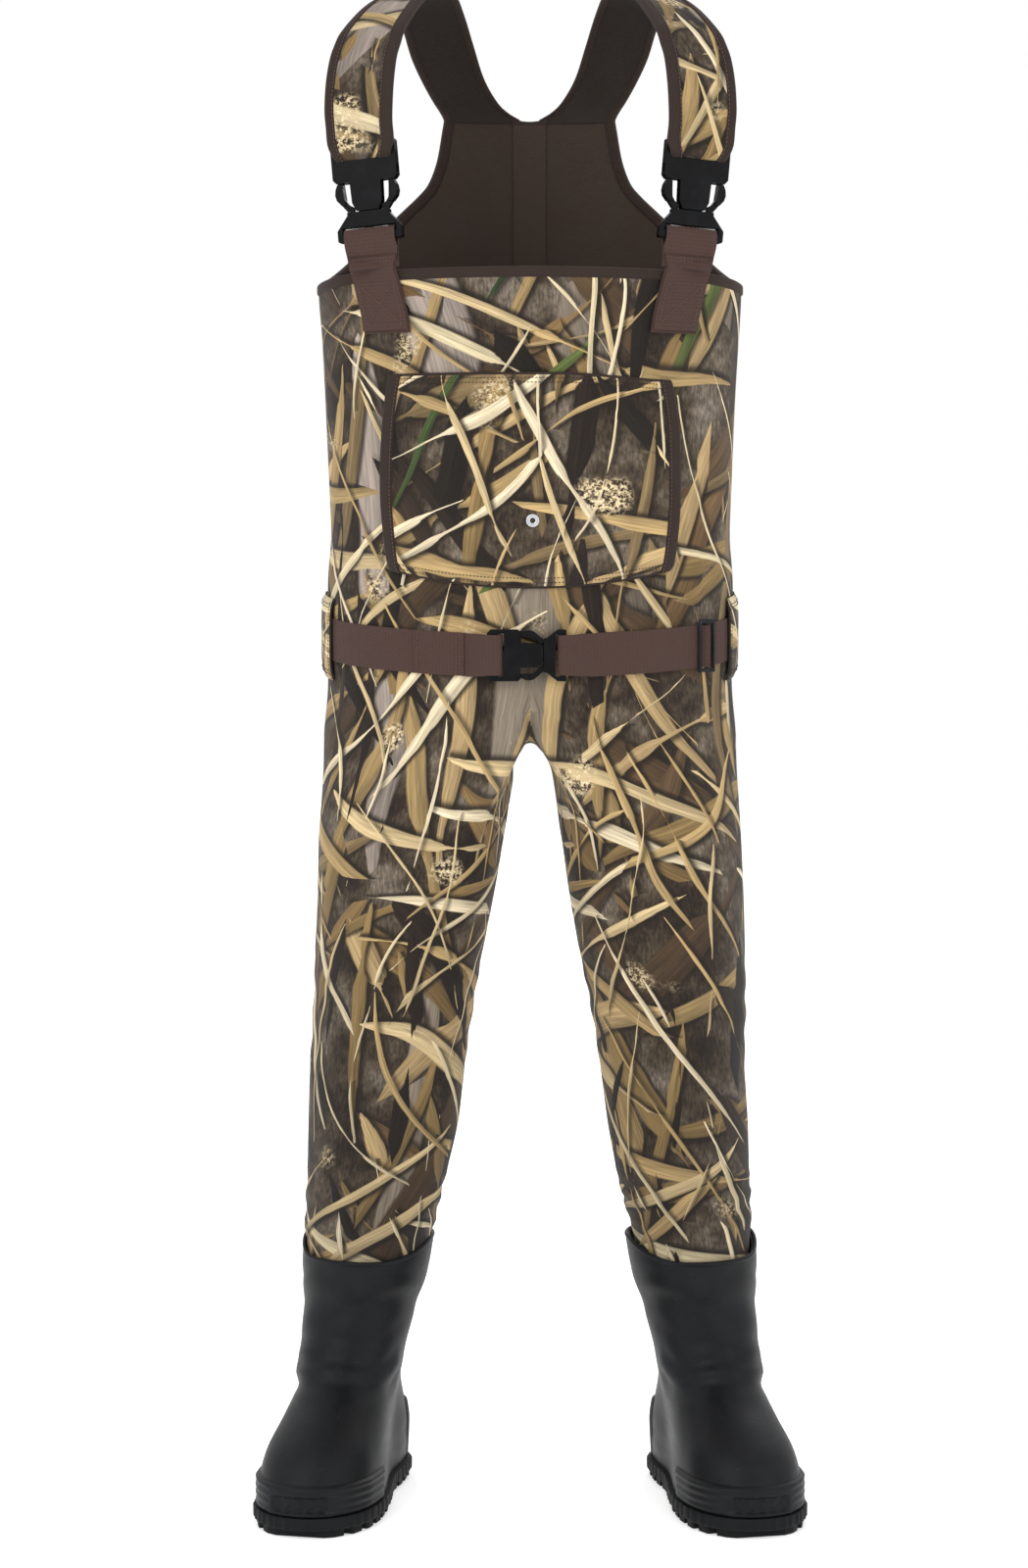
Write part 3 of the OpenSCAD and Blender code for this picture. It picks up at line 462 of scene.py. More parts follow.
M_SOLE_OBJ = rubber("outsole_rubber_carried", "#0c0d0f", "#151618", uv=False, rough=0.6)
M_PLASTIC = plastic("buckle_plastic", "#08080a", "#101113", 0.3)
M_SLIDER = plastic("slider_plastic", "#1c1d20", "#292b2f", 0.4)
M_FOAM = foam("insole_foam", "#5a5d60", "#3e4144")
M_METAL = metal("eyelet_metal")
M_THREAD = thread("brown_thread", "#6b534a", "#3c2c26")
M_THREAD_D = thread("dark_thread", "#3a2d27", "#211812")

# floor: a second material, pale with a faint trace of texture so that it isn't one flat value, put in the floor's
# second slot, which its one face doesn't use
mat, N, bsdf = material("floor")
fn = N.noise(coords(N, False), 3.0, 3.0, 0.5)[0]
N.put(bsdf.inputs["Base Color"], N.mix(fn, lin("#f4f4f3"), lin("#fbfbfb")))
bsdf.inputs["Roughness"].default_value = 0.9
bsdf.inputs["Specular IOR Level"].default_value = 0.1
fm.materials.append(mat)


# ------------------------------------------------------------------ mesh helpers (millimetres above the soles until the end)
def smooth_table(zs, vs, sigma=9.0):
    grid = np.arange(min(zs) - 60, max(zs) + 61, 1.0)
    raw = np.interp(grid, zs, vs)
    k = np.exp(-0.5 * (np.arange(-40, 41) / sigma) ** 2)
    k /= k.sum()
    pad = np.pad(raw, 40, mode="edge")
    sm = np.convolve(pad, k, mode="valid")
    return lambda z: np.interp(z, grid, sm)


def spline(P, per):
    """Centripetal-like Catmull-Rom through rows of P, with per steps between each two."""
    P = np.asarray(P, float)
    Q = np.concatenate([[2 * P[0] - P[1]], P, [2 * P[-1] - P[-2]]])
    out = []
    for k in range(1, len(Q) - 2):
        p0, p1, p2, p3 = Q[k - 1], Q[k], Q[k + 1], Q[k + 2]
        for i in range(per):
            t = i / per
            out.append(0.5 * ((2 * p1) + (-p0 + p2) * t + (2 * p0 - 5 * p1 + 4 * p2 - p3) * t * t + (-p0 + 3 * p1 - 3 * p2 + p3) * t ** 3))
    out.append(P[-1])
    return np.array(out)


def resample(P, step):
    """Rows of P (n, ...) taken at even arc length along the mean line."""
    P = np.asarray(P, float)
    mean = P.reshape(len(P), -1, 3).mean(1)
    s = np.concatenate([[0], np.cumsum(np.linalg.norm(np.diff(mean, axis=0), axis=1))])
    n = max(2, int(round(s[-1] / step)) + 1)
    t = np.linspace(0, s[-1], n)
    flat = P.reshape(len(P), -1)
    return np.stack([np.interp(t, s, flat[:, k]) for k in range(flat.shape[1])], 1).reshape((n,) + P.shape[1:])


def unit(v):
    v = np.asarray(v, float)
    return v / np.maximum(np.linalg.norm(v, axis=-1, keepdims=True), 1e-12)


def to_world(P):
    Q = np.array(P, float)
    Q[..., 2] -= HANG
    return Q / 1000.0


_rng = np.random.RandomState(7)
_waves = [(_rng.normal(size=3), _rng.uniform(0, 6.28)) for _ in range(64)]


def waves(P, size, first, count=8):
    """Smooth noise of about -1..1 with features of that size in millimetres."""
    P = np.asarray(P, float)
    out = np.zeros(P.shape[:-1])
    for d, ph in _waves[first:first + count]:
        out += np.sin(P @ (d / np.linalg.norm(d)) * (2 * math.pi / size) * (0.7 + 0.6 * (ph / 6.28)) + ph)
    return out / math.sqrt(count / 2) / 1.6


def make(name, verts, faces, uvs, mats, mat_idx=None, loop_normals=None, sharp=None):
    me = bpy.data.meshes.new(name)
    me.from_pydata([tuple(v) for v in to_world(verts)], [], [tuple(int(i) for i in f) for f in faces])
    lay = me.uv_layers.new(name="UVMap")
    lay.data.foreach_set("uv", np.asarray(uvs, np.float32).ravel())
    for m in mats:
        me.materials.append(m)
    if mat_idx is not None:
        me.polygons.foreach_set("material_index", np.asarray(mat_idx, np.int32))
    me.polygons.foreach_set("use_smooth", np.ones(len(me.polygons), bool))
    me.update()
    if loop_normals is not None:
        me.normals_split_custom_set([tuple(n) for n in loop_normals])
    elif sharp is not None:
        me.set_sharp_from_angle(angle=math.radians(sharp))
    o = bpy.data.objects.new(name, me)
    bpy.context.scene.collection.objects.link(o)
    return o


class Surf:
    """An outer surface: points, faces of four, and a UV in metres for each corner."""

    def __init__(self, V, quads, quv):
        self.V, self.quads, self.quv = V, quads, quv
        self.N = None


def grid_surf(P, UV, flip=False):
    R, C = P.shape[:2]
    idx = np.arange(R * C).reshape(R, C)
    q = np.stack([idx[:-1, :-1], idx[:-1, 1:], idx[1:, 1:], idx[1:, :-1]], -1).reshape(-1, 4)
    if flip:
        q = q[:, ::-1]
    return Surf(P.reshape(-1, 3).copy(), q, UV.reshape(-1, 2)[q])


def join_surfs(parts):
    V, q, uv, n = [], [], [], 0
    for s in parts:
        V.append(s.V)
        q.append(s.quads + n)
        uv.append(s.quv)
        n += len(s.V)
    return Surf(np.concatenate(V), np.concatenate(q), np.concatenate(uv))


def weld(s):
    key = np.round(s.V, 3)
    _, first, inv = np.unique(key, axis=0, return_index=True, return_inverse=True)
    inv = inv.ravel()
    q = inv[s.quads]
    ok = np.array([len(set(r)) >= 3 for r in q.tolist()])
    out = Surf(s.V[first], q[ok], s.quv[ok])
    if s.N is not None:
        out.N = s.N[first]
    return out


def face_normals(V, q):
    a, b, c, d = (V[q[:, k]] for k in range(4))
    return np.cross(c - a, d - b)


def shared_normals(surfs):
    """Normals at each point, the same on every surface that meets there."""
    allV = np.concatenate([s.V for s in surfs])
    _, inv = np.unique(np.round(allV, 3), axis=0, return_inverse=True)
    inv = inv.ravel()
    acc = np.zeros((inv.max() + 1, 3))
    n = 0
    for s in surfs:
        fnm = face_normals(s.V, s.quads)
        for k in range(4):
            np.add.at(acc, inv[n + s.quads[:, k]], fnm)
        n += len(s.V)
    acc = unit(acc)
    n = 0
    for s in surfs:
        s.N = acc[inv[n:n + len(s.V)]]
        n += len(s.V)


def shell(name, s, t, mats, uv_inner=True):
    """A closed sheet: the outer surface, an inner one t inside it, and rims along its open edges."""
    s = weld(s)
    n = len(s.V)
    V = np.concatenate([s.V, s.V - s.N * t])
    faces, uvs, mi, ln = [], [], [], []
    edges = {}
    for q, uv in zip(s.quads.tolist(), s.quv):
        # drop a repeated corner where a quad has closed to a triangle
        c = [(i, tuple(u)) for k, (i, u) in enumerate(zip(q, uv)) if i != q[k - 1]]
        ids, us = [x[0] for x in c], [x[1] for x in c]
        faces.append(ids)
        uvs += us
        mi.append(0)
        ln += [s.N[i] for i in ids]
        m = len(ids)
        for k in range(m):
            edges[(ids[k], ids[(k + 1) % m])] = (us[k], us[(k + 1) % m])
    outer = len(faces)
    for k in range(outer):
        ids = faces[k]
        faces.append([i + n for i in ids[::-1]])
        mi.append(1)
    pos = 0
    starts = []
    for k in range(outer):
        starts.append(pos)
        pos += len(faces[k])
    for k in range(outer):
        m = len(faces[k])
        us = uvs[starts[k]:starts[k] + m]
        uvs += us[::-1]
        ln += [-s.N[i] for i in faces[k][::-1]]
    for (a, b), (ua, ub) in edges.items():
        if (b, a) not in edges:
            f = [b, a, a + n, b + n]
            faces.append(f)
            mi.append(2)
            uvs += [ub, ua, (ua[0] + 0.003, ua[1] + 0.003), (ub[0] + 0.003, ub[1] + 0.003)]
            fn = np.cross(V[f[2]] - V[f[0]], V[f[3]] - V[f[1]])
            ln += [fn / max(np.linalg.norm(fn), 1e-9)] * 4
    o = make(name, V, faces, uvs, mats, mi, ln)
    o["area_m2"] = float(np.linalg.norm(face_normals(s.V, s.quads), axis=1).sum() / 2 / 1e6)
    return o


def sweep(name, P, X, Y, section, mats, closed=False, sharp=50, u0=0.0):
    """A closed solid along P: section points (sx, sy) run counter-clockwise seen along the path, on the axes X and Y."""
    P, X, Y = np.asarray(P, float), np.asarray(X, float), np.asarray(Y, float)
    sec = np.asarray(section, float)
    n, m = len(P), sec.shape[-2]
    if sec.ndim == 2:
        sec = np.repeat(sec[None], n, 0)
    V = P[:, None] + X[:, None] * sec[:, :, :1] + Y[:, None] * sec[:, :, 1:2]
    s = np.concatenate([[0], np.cumsum(np.linalg.norm(np.diff(P, axis=0), axis=1))]) / 1000 + u0
    per = np.concatenate([[0], np.cumsum(np.linalg.norm(np.diff(np.concatenate([sec[0], sec[0][:1]]), axis=0), axis=1))]) / 1000
    faces, uvs = [], []
    rows = n if closed else n - 1
    for r in range(rows):
        r2 = (r + 1) % n
        s2 = s[r2] if r2 else s[-1] + np.linalg.norm(P[0] - P[-1]) / 1000
        for c in range(m):
            d = (c + 1) % m
            faces.append([r * m + c, r * m + d, r2 * m + d, r2 * m + c])
            uvs += [(s[r], per[c]), (s[r], per[c + 1]), (s2, per[c + 1]), (s2, per[c])]
    if not closed:
        faces.append(list(range(m))[::-1])
        uvs += [tuple(sec[0][c] / 1000) for c in range(m)][::-1]
        faces.append([(n - 1) * m + c for c in range(m)])
        uvs += [tuple(sec[0][c] / 1000) for c in range(m)]
    V = V.reshape(-1, 3)
    # turn the faces outward if the section ran the other way
    vol = 0.0
    for f in faces:
        a = V[f[0]]
        for k in range(1, len(f) - 1):
            vol += np.dot(a, np.cross(V[f[k]], V[f[k + 1]]))
    if vol < 0:
        flipped, pos = [], 0
        for f in faces:
            flipped += uvs[pos:pos + len(f)][::-1]
            pos += len(f)
        faces, uvs = [f[::-1] for f in faces], flipped
    return make(name, V, faces, uvs, mats, sharp=sharp)


def join_objects(name, objs):
    """One object from several meshes, with their materials kept."""
    verts, faces, uvs, mi, mats, n = [], [], [], [], [], 0
    for o in objs:
        me = o.data
        co = np.zeros(len(me.vertices) * 3)
        me.vertices.foreach_get("co", co)
        verts.append(co.reshape(-1, 3))
        slots = []
        for m in me.materials:
            if m not in mats:
                mats.append(m)
            slots.append(mats.index(m))
        uv = np.zeros(len(me.loops) * 2)
        me.uv_layers[0].data.foreach_get("uv", uv)
        uvs.append(uv.reshape(-1, 2))
        for p in me.polygons:
            faces.append([i + n for i in p.vertices])
            mi.append(slots[p.material_index])
        n += len(me.vertices)
        bpy.data.objects.remove(o)
        bpy.data.meshes.remove(me)
    V = np.concatenate(verts) * 1000
    V[:, 2] += HANG
    return make(name, V, faces, np.concatenate(uvs), mats, mi, sharp=45)


def rounded(w, h, r, n=4, bulge=0.0):
    """Rounded rectangle, w across x and h across y, as section points."""
    r = min(r, w / 2 - 1e-3, h / 2 - 1e-3)
    pts = []
    for cx, cy, a0 in ((w / 2 - r, h / 2 - r, 0), (-(w / 2 - r), h / 2 - r, 90), (-(w / 2 - r), -(h / 2 - r), 180), (w / 2 - r, -(h / 2 - r), 270)):
        for k in range(n + 1):
            a = math.radians(a0 + 90 * k / n)
            pts.append((cx + r * math.cos(a), cy + r * math.sin(a)))
    return np.array(pts)


def stitches(name, lines, mat=None, pitch=3.2, length=2.3, r=0.42, lift=0.25):
    """Runs of thread: each line is (points, normals); every stitch is a small bowed capsule lying on the cloth."""
    V, F, UV = [], [], []
    n = 0
    for P, Nn in lines:
        P, Nn = np.asarray(P, float), np.asarray(Nn, float)
        if len(P) < 2:
            continue
        s = np.concatenate([[0], np.cumsum(np.linalg.norm(np.diff(P, axis=0), axis=1))])
        count = int(s[-1] // pitch)
        for k in range(count):
            c0 = (k + 0.5) * pitch - length / 2
            ts = c0 + np.array([0.0, 0.18, 0.5, 0.82, 1.0]) * length
            lifts = np.array([-0.35, 0.05, 0.3, 0.05, -0.35]) + lift
            rad = np.array([0.25, 0.8, 1.0, 0.8, 0.25]) * r
            pts = np.stack([np.interp(ts, s, P[:, a]) for a in range(3)], 1)
            nn = unit(np.stack([np.interp(ts, s, Nn[:, a]) for a in range(3)], 1))
            tang = unit(pts[-1] - pts[0])
            side = unit(np.cross(tang, nn))
            ring = []
            for i in range(5):
                for a in range(6):
                    an = a * math.pi / 3
                    ring.append(pts[i] + nn[i] * (lifts[i] + rad[i] * math.sin(an)) + side[i] * rad[i] * math.cos(an))
            V += ring
            for i in range(4):
                for a in range(6):
                    b = (a + 1) % 6
                    F.append([n + i * 6 + a, n + i * 6 + b, n + (i + 1) * 6 + b, n + (i + 1) * 6 + a])
                    UV += [(ts[i] / 1000, a / 6000), (ts[i] / 1000, b / 6000), (ts[i + 1] / 1000, b / 6000), (ts[i + 1] / 1000, a / 6000)]
            F.append([n + a for a in range(6)][::-1])
            UV += [(0, 0)] * 6
            F.append([n + 24 + a for a in range(6)])
            UV += [(0, 0)] * 6
            n += 30
    V = np.array(V)
    # orient outward: the first capsule decides for all
    f = F[0]
    c = V[:30].mean(0)
    fn = np.cross(V[f[1]] - V[f[0]], V[f[2]] - V[f[0]])
    if np.dot(fn, V[f[0]] - c) < 0:
        F = [x[::-1] for x in F]
    return make(name, V, F, UV, [mat or M_THREAD], sharp=80)


def dress(name, mat, bevel=0.0005, segments=2, angle=32):
    """A finished look for a CAD node: joined corners, rounded edges, and its material."""
    o = nodes[name]
    o.data.materials.clear()
    o.data.materials.append(mat)
    w = o.modifiers.new("weld", "WELD")
    w.merge_threshold = 0.00002
    if bevel:
        b = o.modifiers.new("bevel", "BEVEL")
        b.width = bevel
        b.segments = segments
        b.limit_method = "ANGLE"
        b.angle_limit = math.radians(angle)
        b.harden_normals = False
        b.use_clamp_overlap = True
    return o


# ------------------------------------------------------------------ the bib's oval, as in the CAD source
SR = 75.0
ta = smooth_table([628, 664, 756, 788, 828, 908, 960, 985, 1150], [168.5, 164.5, 164.5, 161, 163, 167, 170, 171.5, 171.5])
tb = smooth_table([628, 664, 756, 788, 828, 908, 960, 985, 1002, 1150], [108, 106, 106, 104.5, 106.5, 108.5, 109.5, 107.6, 107, 101])


def oval_ab(a, b, off, f):
    f = np.asarray(f, float)
    R = (a * a + b * b - 2 * a * SR) / (2 * (b - SR))
    j = np.arctan2(a - SR, R - b)
    g = np.radians((f + 180.0) % 360.0 - 180.0)
    ag = np.abs(g)
    front = ag <= j
    back = ag >= math.pi - j
    x = np.where(front | back, (R + off) * np.sin(g), np.sign(g) * (a - SR) + (SR + off) * np.sin(g))
    y = np.where(front, (R - b) - (R + off) * np.cos(g), np.where(back, -(R - b) - (R + off) * np.cos(g), -(SR + off) * np.cos(g)))
    return x, y


def oval(f, z, off=0.0):
    z = np.asarray(z, float)
    x, y = oval_ab(ta(z), tb(z), off, f)
    return np.stack(np.broadcast_arrays(x, y, z), -1)


def back_pt(x, z, off=0.0):
    x, z = np.broadcast_arrays(np.asarray(x, float), np.asarray(z, float))
    a, b = ta(z), tb(z)
    R = (a * a + b * b - 2 * a * SR) / (2 * (b - SR))
    j = np.arctan2(a - SR, R - b)
    w = np.minimum(np.abs(x), a)
    g = np.where(w < R * np.sin(j), np.arcsin(np.clip(w / R, -1, 1)), np.arcsin(np.clip((w - (a - SR)) / SR, -1, 1)))
    px, py = oval_ab(a, b, off, 180.0 - np.sign(x) * np.degrees(g))
    return np.stack([px, py, z], -1)


def arc_cols(f0, f1, n, z=850.0):
    f = np.linspace(f0, f1, 1500)
    p = oval(f, z)
    s = np.concatenate([[0], np.cumsum(np.linalg.norm(np.diff(p, axis=0), axis=1))])
    return np.interp(np.linspace(0, s[-1], n + 1), s, f)


NQ = 50  # columns in each quarter
F_HALF = np.concatenate([arc_cols(0, 90, NQ), arc_cols(90, 180, NQ)[1:]])  # front middle, side, back middle
NH = len(F_HALF) - 1
F_FULL = np.concatenate([-F_HALF[::-1][:-1], F_HALF])
ref = oval(F_HALF, 850.0)
ARC_HALF = np.concatenate([[0], np.cumsum(np.linalg.norm(np.diff(ref, axis=0), axis=1))])
ARC_FULL = np.concatenate([-ARC_HALF[::-1][:-1], ARC_HALF])


def front_top(f):
    return 997.0 - 6.0 * np.abs(np.sin(np.radians(f))) ** 3


def belt_line(f):
    x, y = oval_ab(164.5, 106.0, 0.0, f)
    return 711.0 + y * 16.0 / 106.0


ARM = np.array([(171.5, 991), (168, 996), (155, 1009), (132, 1033), (106, 1059), (92, 1073), (83.5, 1084), (76.5, 1103), (72, 1128), (70.5, 1136.7)], float)
ARM_S = spline(ARM, 10)

# lower and front part: every column from the belt line to its top
RL = 62
ztop = np.where(np.abs(F_FULL) <= 90.0001, front_top(F_FULL), 991.0)
zlow = belt_line(F_FULL)
k = np.linspace(0, 1, RL + 1)[:, None]
Z = zlow[None] * (1 - k) + ztop[None] * k
bib_low_P = oval(F_FULL[None], Z)
bib_low_UV = np.stack([np.broadcast_to(ARC_FULL / 1000, Z.shape), Z / 1000], -1)

# raised back: columns behind the side seams, drawn in to the armhole edge
s_arm = np.concatenate([[0], np.cumsum(np.linalg.norm(np.diff(ARM_S, axis=0), axis=1))])
RB = 44
t_arm = np.linspace(0, s_arm[-1], RB + 1)
xe = np.interp(t_arm, s_arm, ARM_S[:, 0])
ze = np.interp(t_arm, s_arm, ARM_S[:, 1])


def back_side(sign):
    cols = F_HALF[NQ:]  # 90..180
    x0 = oval(cols, 991.0)[:, 0]
    X = sign * x0[None] / x0[0] * xe[:, None]
    Zb = np.broadcast_to(ze[:, None], X.shape)
    P = back_pt(X, Zb)
    P[0] = oval(sign * cols, 991.0)
    P[:, -1, 0] = 0.0
    arc = np.concatenate([np.zeros((len(P), 1)), np.cumsum(np.linalg.norm(np.diff(P[:, ::-1], axis=1), axis=2), axis=1)], 1)[:, ::-1]
    U = sign * (ARC_HALF[-1] - arc) / 1000
    UV = np.stack([U, Zb / 1000], -1)
    return P, UV


bl_P, bl_UV = back_side(1)
br_P, br_UV = back_side(-1)
S_bib = join_surfs([grid_surf(bib_low_P, bib_low_UV), grid_surf(bl_P, bl_UV), grid_surf(br_P, br_UV, flip=True)])

# ------------------------------------------------------------------ hips and legs: one closed loop of columns per leg
OUT_Z = [212, 260, 308, 356, 404, 452, 500, 548, 572, 596, 622, 660]
OUT_L = [184.8, 181.6, 180.8, 177.2, 176.8, 174.6, 172.8, 171.2, 170.6, 169.6, 168.6, 166.5]   # image right
OUT_R = [187.2, 185.6, 184.0, 182.4, 179.2, 178.2, 175.2, 173.6, 172.0, 170.4, 168.8, 167.2]   # image left
IN_Z = [212, 260, 308, 356, 404, 452, 500, 548, 572, 596, 610, 622]
IN_L = [85.6, 73.6, 64.0, 56.8, 49.6, 40.8, 32.8, 25.6, 21.6, 18.4, 12.5, 0.0]
IN_R = [80.8, 69.6, 59.2, 52.8, 45.6, 38.4, 29.6, 20.8, 16.8, 12.8, 9.0, 0.0]
leg_cy = smooth_table([212, 308, 428, 548, 600, 660], [26, 16, 6, 0, 0, 0], 16)
leg_rb = smooth_table([212, 308, 428, 548, 600, 660], [56, 62, 70, 81, 88, 97], 16)
NI = 22  # columns on the inner side of each leg
Z_CUT, Z_LOW = 475.0, 190.0


def leg_loop(z, side):
    """Superellipse loop of a leg at one height: returns (outer columns, inner columns)."""
    o = np.interp(z, OUT_Z, OUT_L if side > 0 else OUT_R)
    i = np.interp(min(z, 596.0), IN_Z, IN_L if side > 0 else IN_R)
    if z > 596:
        i = i * max(0.0, 1 - ((z - 596) / 26.0) ** 2) ** 0.5 if z < 622 else 0.0
    cx, ra = (o + i) / 2, (o - i) / 2
    e = np.interp(z, [400, 540, 640], [2.0, 2.15, 2.6])
    cy, rb = float(leg_cy(z)), float(leg_rb(z))

    def pt(a):
        c, s = np.cos(a), np.sin(a)
        return np.stack([cx + ra * np.sign(c) * np.abs(c) ** (2 / e), cy + rb * np.sign(s) * np.abs(s) ** (2 / e)], -1)

    def even(a0, a1, frac):
        a = np.linspace(a0, a1, 700)
        p = pt(a)
        s = np.concatenate([[0], np.cumsum(np.linalg.norm(np.diff(p, axis=0), axis=1))])
        return np.stack([np.interp(frac * s[-1], s, p[:, k]) for k in range(2)], -1)

    corner = math.radians(135)
    return even(-corner, corner, ARC_HALF / ARC_HALF[-1]), even(corner, 2 * math.pi - corner, np.linspace(0, 1, NI + 1))


def sstep(u):
    u = np.clip(u, 0, 1)
    return u * u * (3 - 2 * u)


def leg_surfaces(side):
    zg = np.arange(Z_LOW - 6, 662, 2.0)
    tabs = [leg_loop(float(z), side) for z in zg]
    outer = np.stack([t[0] for t in tabs])   # (nz, NH+1, 2), front corner to back corner by the outside
    inner = np.stack([t[1] for t in tabs])   # (nz, NI+1, 2), back corner to front corner by the inside

    def leg_xy(table, c, z):
        return np.stack([np.interp(z, zg, table[:, c, k]) for k in range(2)], -1)

    # loop order: inner columns from the back corner to the front corner, then the outer ones back to the start
    dx = oval(F_HALF, 640.0)
    z_cr_outer = 628 + 24 * np.exp(-(dx[:, 0] / 42.0) ** 2)
    yi = np.linspace(1, -1, NI + 1)
    z_cr_inner = 622 + 30 * np.abs(yi) ** 4
    z_cr = np.concatenate([z_cr_inner[:-1], z_cr_outer])
    NC = len(z_cr)
    inner_col = np.arange(NC) < NI
    belt = np.concatenate([np.zeros(NI), belt_line(F_HALF)])
    # rows: 0..RC above the crotch (outer columns only), then down to the cut, then down into the boot
    RC, K1, K2, K3 = 14, 26, 13, 58
    rows = []
    for r in range(RC + 1):
        rows.append(belt + (z_cr - belt) * r / RC)
    for r in range(1, K1 + 1):
        t = (r / K1) ** 1.55
        rows.append(z_cr + (540.0 - z_cr) * t)
    for r in range(1, K2 + 1):
        rows.append(np.full(NC, 540.0 + (Z_CUT - 540.0) * r / K2))
    for r in range(1, K3 + 1):
        rows.append(np.full(NC, Z_CUT + (Z_LOW - Z_CUT) * r / K3))
    Zr = np.stack(rows)
    P = np.zeros(Zr.shape + (3,))
    for c in range(NC):
        z = Zr[:, c]
        if inner_col[c]:
            e = leg_xy(inner, c, z)
            b = tb(np.maximum(z, 628))
            d = np.stack([np.zeros_like(z), yi[c] * b * np.ones_like(z)], -1)
            mid = 1 - abs(yi[c]) ** 3
            w_mid = sstep((z_cr[c] - z) / 60.0)
            xin = np.sqrt(np.clip((z_cr[c] - z) / 30.0, 0, 1) * (2 - np.clip((z_cr[c] - z) / 30.0, 0, 1)))
            w_out = sstep((655 - z) / 115.0)
            wx = mid * np.maximum(xin, w_mid) + (1 - mid) * w_out * sstep((z_cr[c] - z) / 40.0)
            wy = w_out * sstep((z_cr[c] - z) / 40.0 + 0.0)
            xe_ = np.maximum(e[:, 0], np.interp(z, [548, 600, 622], [e[:, 0].min() * 0, 15.0, 15.0]) * (mid > 0))
            P[:, c, 0] = wx * np.where(z > 560, np.maximum(e[:, 0], xe_ * mid), e[:, 0])
            P[:, c, 1] = d[:, 1] * (1 - wy) + e[:, 1] * wy
        else:
            j = c - NI
            e = leg_xy(outer, j, z)
            dd = oval(F_HALF[j], z)[:, :2]
            w = sstep((655 - z) / 115.0)
            P[:, c, :2] = dd * (1 - w[:, None]) + e * w[:, None]
        P[:, c, 2] = z
    # the seam line between the two halves stays in the middle plane down to the crotch
    P[:RC + 1, NI, 0] = 0.0
    P[:RC + 1, NC - 1, 0] = 0.0
    P[RC, :NI, 0] = 0.0
    P[RC, 0] = P[RC, NC - 1]
    first = P[:, NC - 1].copy()          # the loop closes on the back corner column
    P[:, 0] = np.where((np.arange(len(P)) >= RC)[:, None], first, P[:, 0])
    # the leg runs in under the boot's top edge
    tuck = sstep((216.0 - P[..., 2]) / 9.0) * 2.6
    ctr = np.stack([P[..., 0].mean(1), P[..., 1].mean(1)], -1)[:, None]
    dirn = P[..., :2] - ctr
    dirn /= np.maximum(np.linalg.norm(dirn, axis=-1, keepdims=True), 1e-6)
    P[..., :2] -= dirn * tuck[..., None]
    return P, RC, K1 + K2, NI


def leg_uv(P, RC, c_ref):
    seg = np.linalg.norm(np.diff(P, axis=1), axis=2)
    arc = np.concatenate([np.zeros((len(P), 1)), np.cumsum(seg, 1)], 1)
    U = (arc - arc[:, c_ref:c_ref + 1]) / 1000
    return np.stack([U + 0.084, P[..., 2] / 1000], -1)


def leg_parts(side):
    P, RC, nrow, ni = leg_surfaces(side)
    c_ref = ni + int(np.argmin(np.abs(oval(F_HALF[:NQ], 640.0)[:, 0] - 84)))
    # smooth the loops a little below the crotch, where the two shapes meet
    for _ in range(6):
        Q = P.copy()
        lo = RC + 1
        Q[lo + 1:-1, 1:-1] = 0.5 * P[lo + 1:-1, 1:-1] + 0.125 * (P[lo:-2, 1:-1] + P[lo + 2:, 1:-1] + P[lo + 1:-1, :-2] + P[lo + 1:-1, 2:])
        Q[lo + 1:-1, 0] = 0.5 * P[lo + 1:-1, 0] + 0.125 * (P[lo:-2, 0] + P[lo + 2:, 0] + P[lo + 1:-1, -2] + P[lo + 1:-1, 1])
        Q[lo + 1:-1, -1] = Q[lo + 1:-1, 0]
        Q[..., 2] = P[..., 2]
        P = Q
    UV = leg_uv(P, RC, c_ref)
    if side < 0:
        P = P * np.array([-1.0, 1.0, 1.0])
        UV = UV * np.array([-1.0, 1.0])
    flip = side > 0
    up = grid_surf(P[:RC + 1, ni:], UV[:RC + 1, ni:], flip)
    end = RC + nrow
    mid = grid_surf(P[RC:end + 1], UV[RC:end + 1], flip)
    low = grid_surf(P[end:], UV[end:], flip)
    return join_surfs([up, mid]), low, P


S_hip_l, S_leg_l, LEG_L = leg_parts(1)
S_hip_r, S_leg_r, LEG_R = leg_parts(-1)
GARMENT = [S_bib, S_hip_l, S_leg_l, S_hip_r, S_leg_r]
shared_normals(GARMENT)


def folds(P, N):
    """Soft unevenness of hanging neoprene, quiet at the belt and the bib's edge, with drag lines at the crotch and knees."""
    x, y, z = P[:, 0], P[:, 1], P[:, 2]
    amp = 0.9 * sstep((z - 712) / 40) * sstep((985 - z) / 40) + 1.5 * sstep((640 - z) / 60) * sstep((z - 225) / 30)
    d = amp * waves(P * np.array([1.0, 1.0, 0.55]), 95.0, 0)
    ax = np.abs(x)
    crotch = np.exp(-((z - 600) / 48.0) ** 2) * sstep((ax - 12) / 30) * sstep((150 - ax) / 60)
    d += 1.5 * crotch * np.sin((z * 0.85 + ax * 0.55) * 2 * math.pi / 34.0)
    knee = np.exp(-((z - 402) / 42.0) ** 2)
    d += 0.8 * knee * np.sin((z + 0.25 * waves(P, 120.0, 9) * 30) * 2 * math.pi / 30.0)
    cuff = np.exp(-((z - 238) / 24.0) ** 2)
    d += 1.1 * cuff * np.sin((z + 8 * waves(P, 90.0, 17)) * 2 * math.pi / 22.0)
    return d


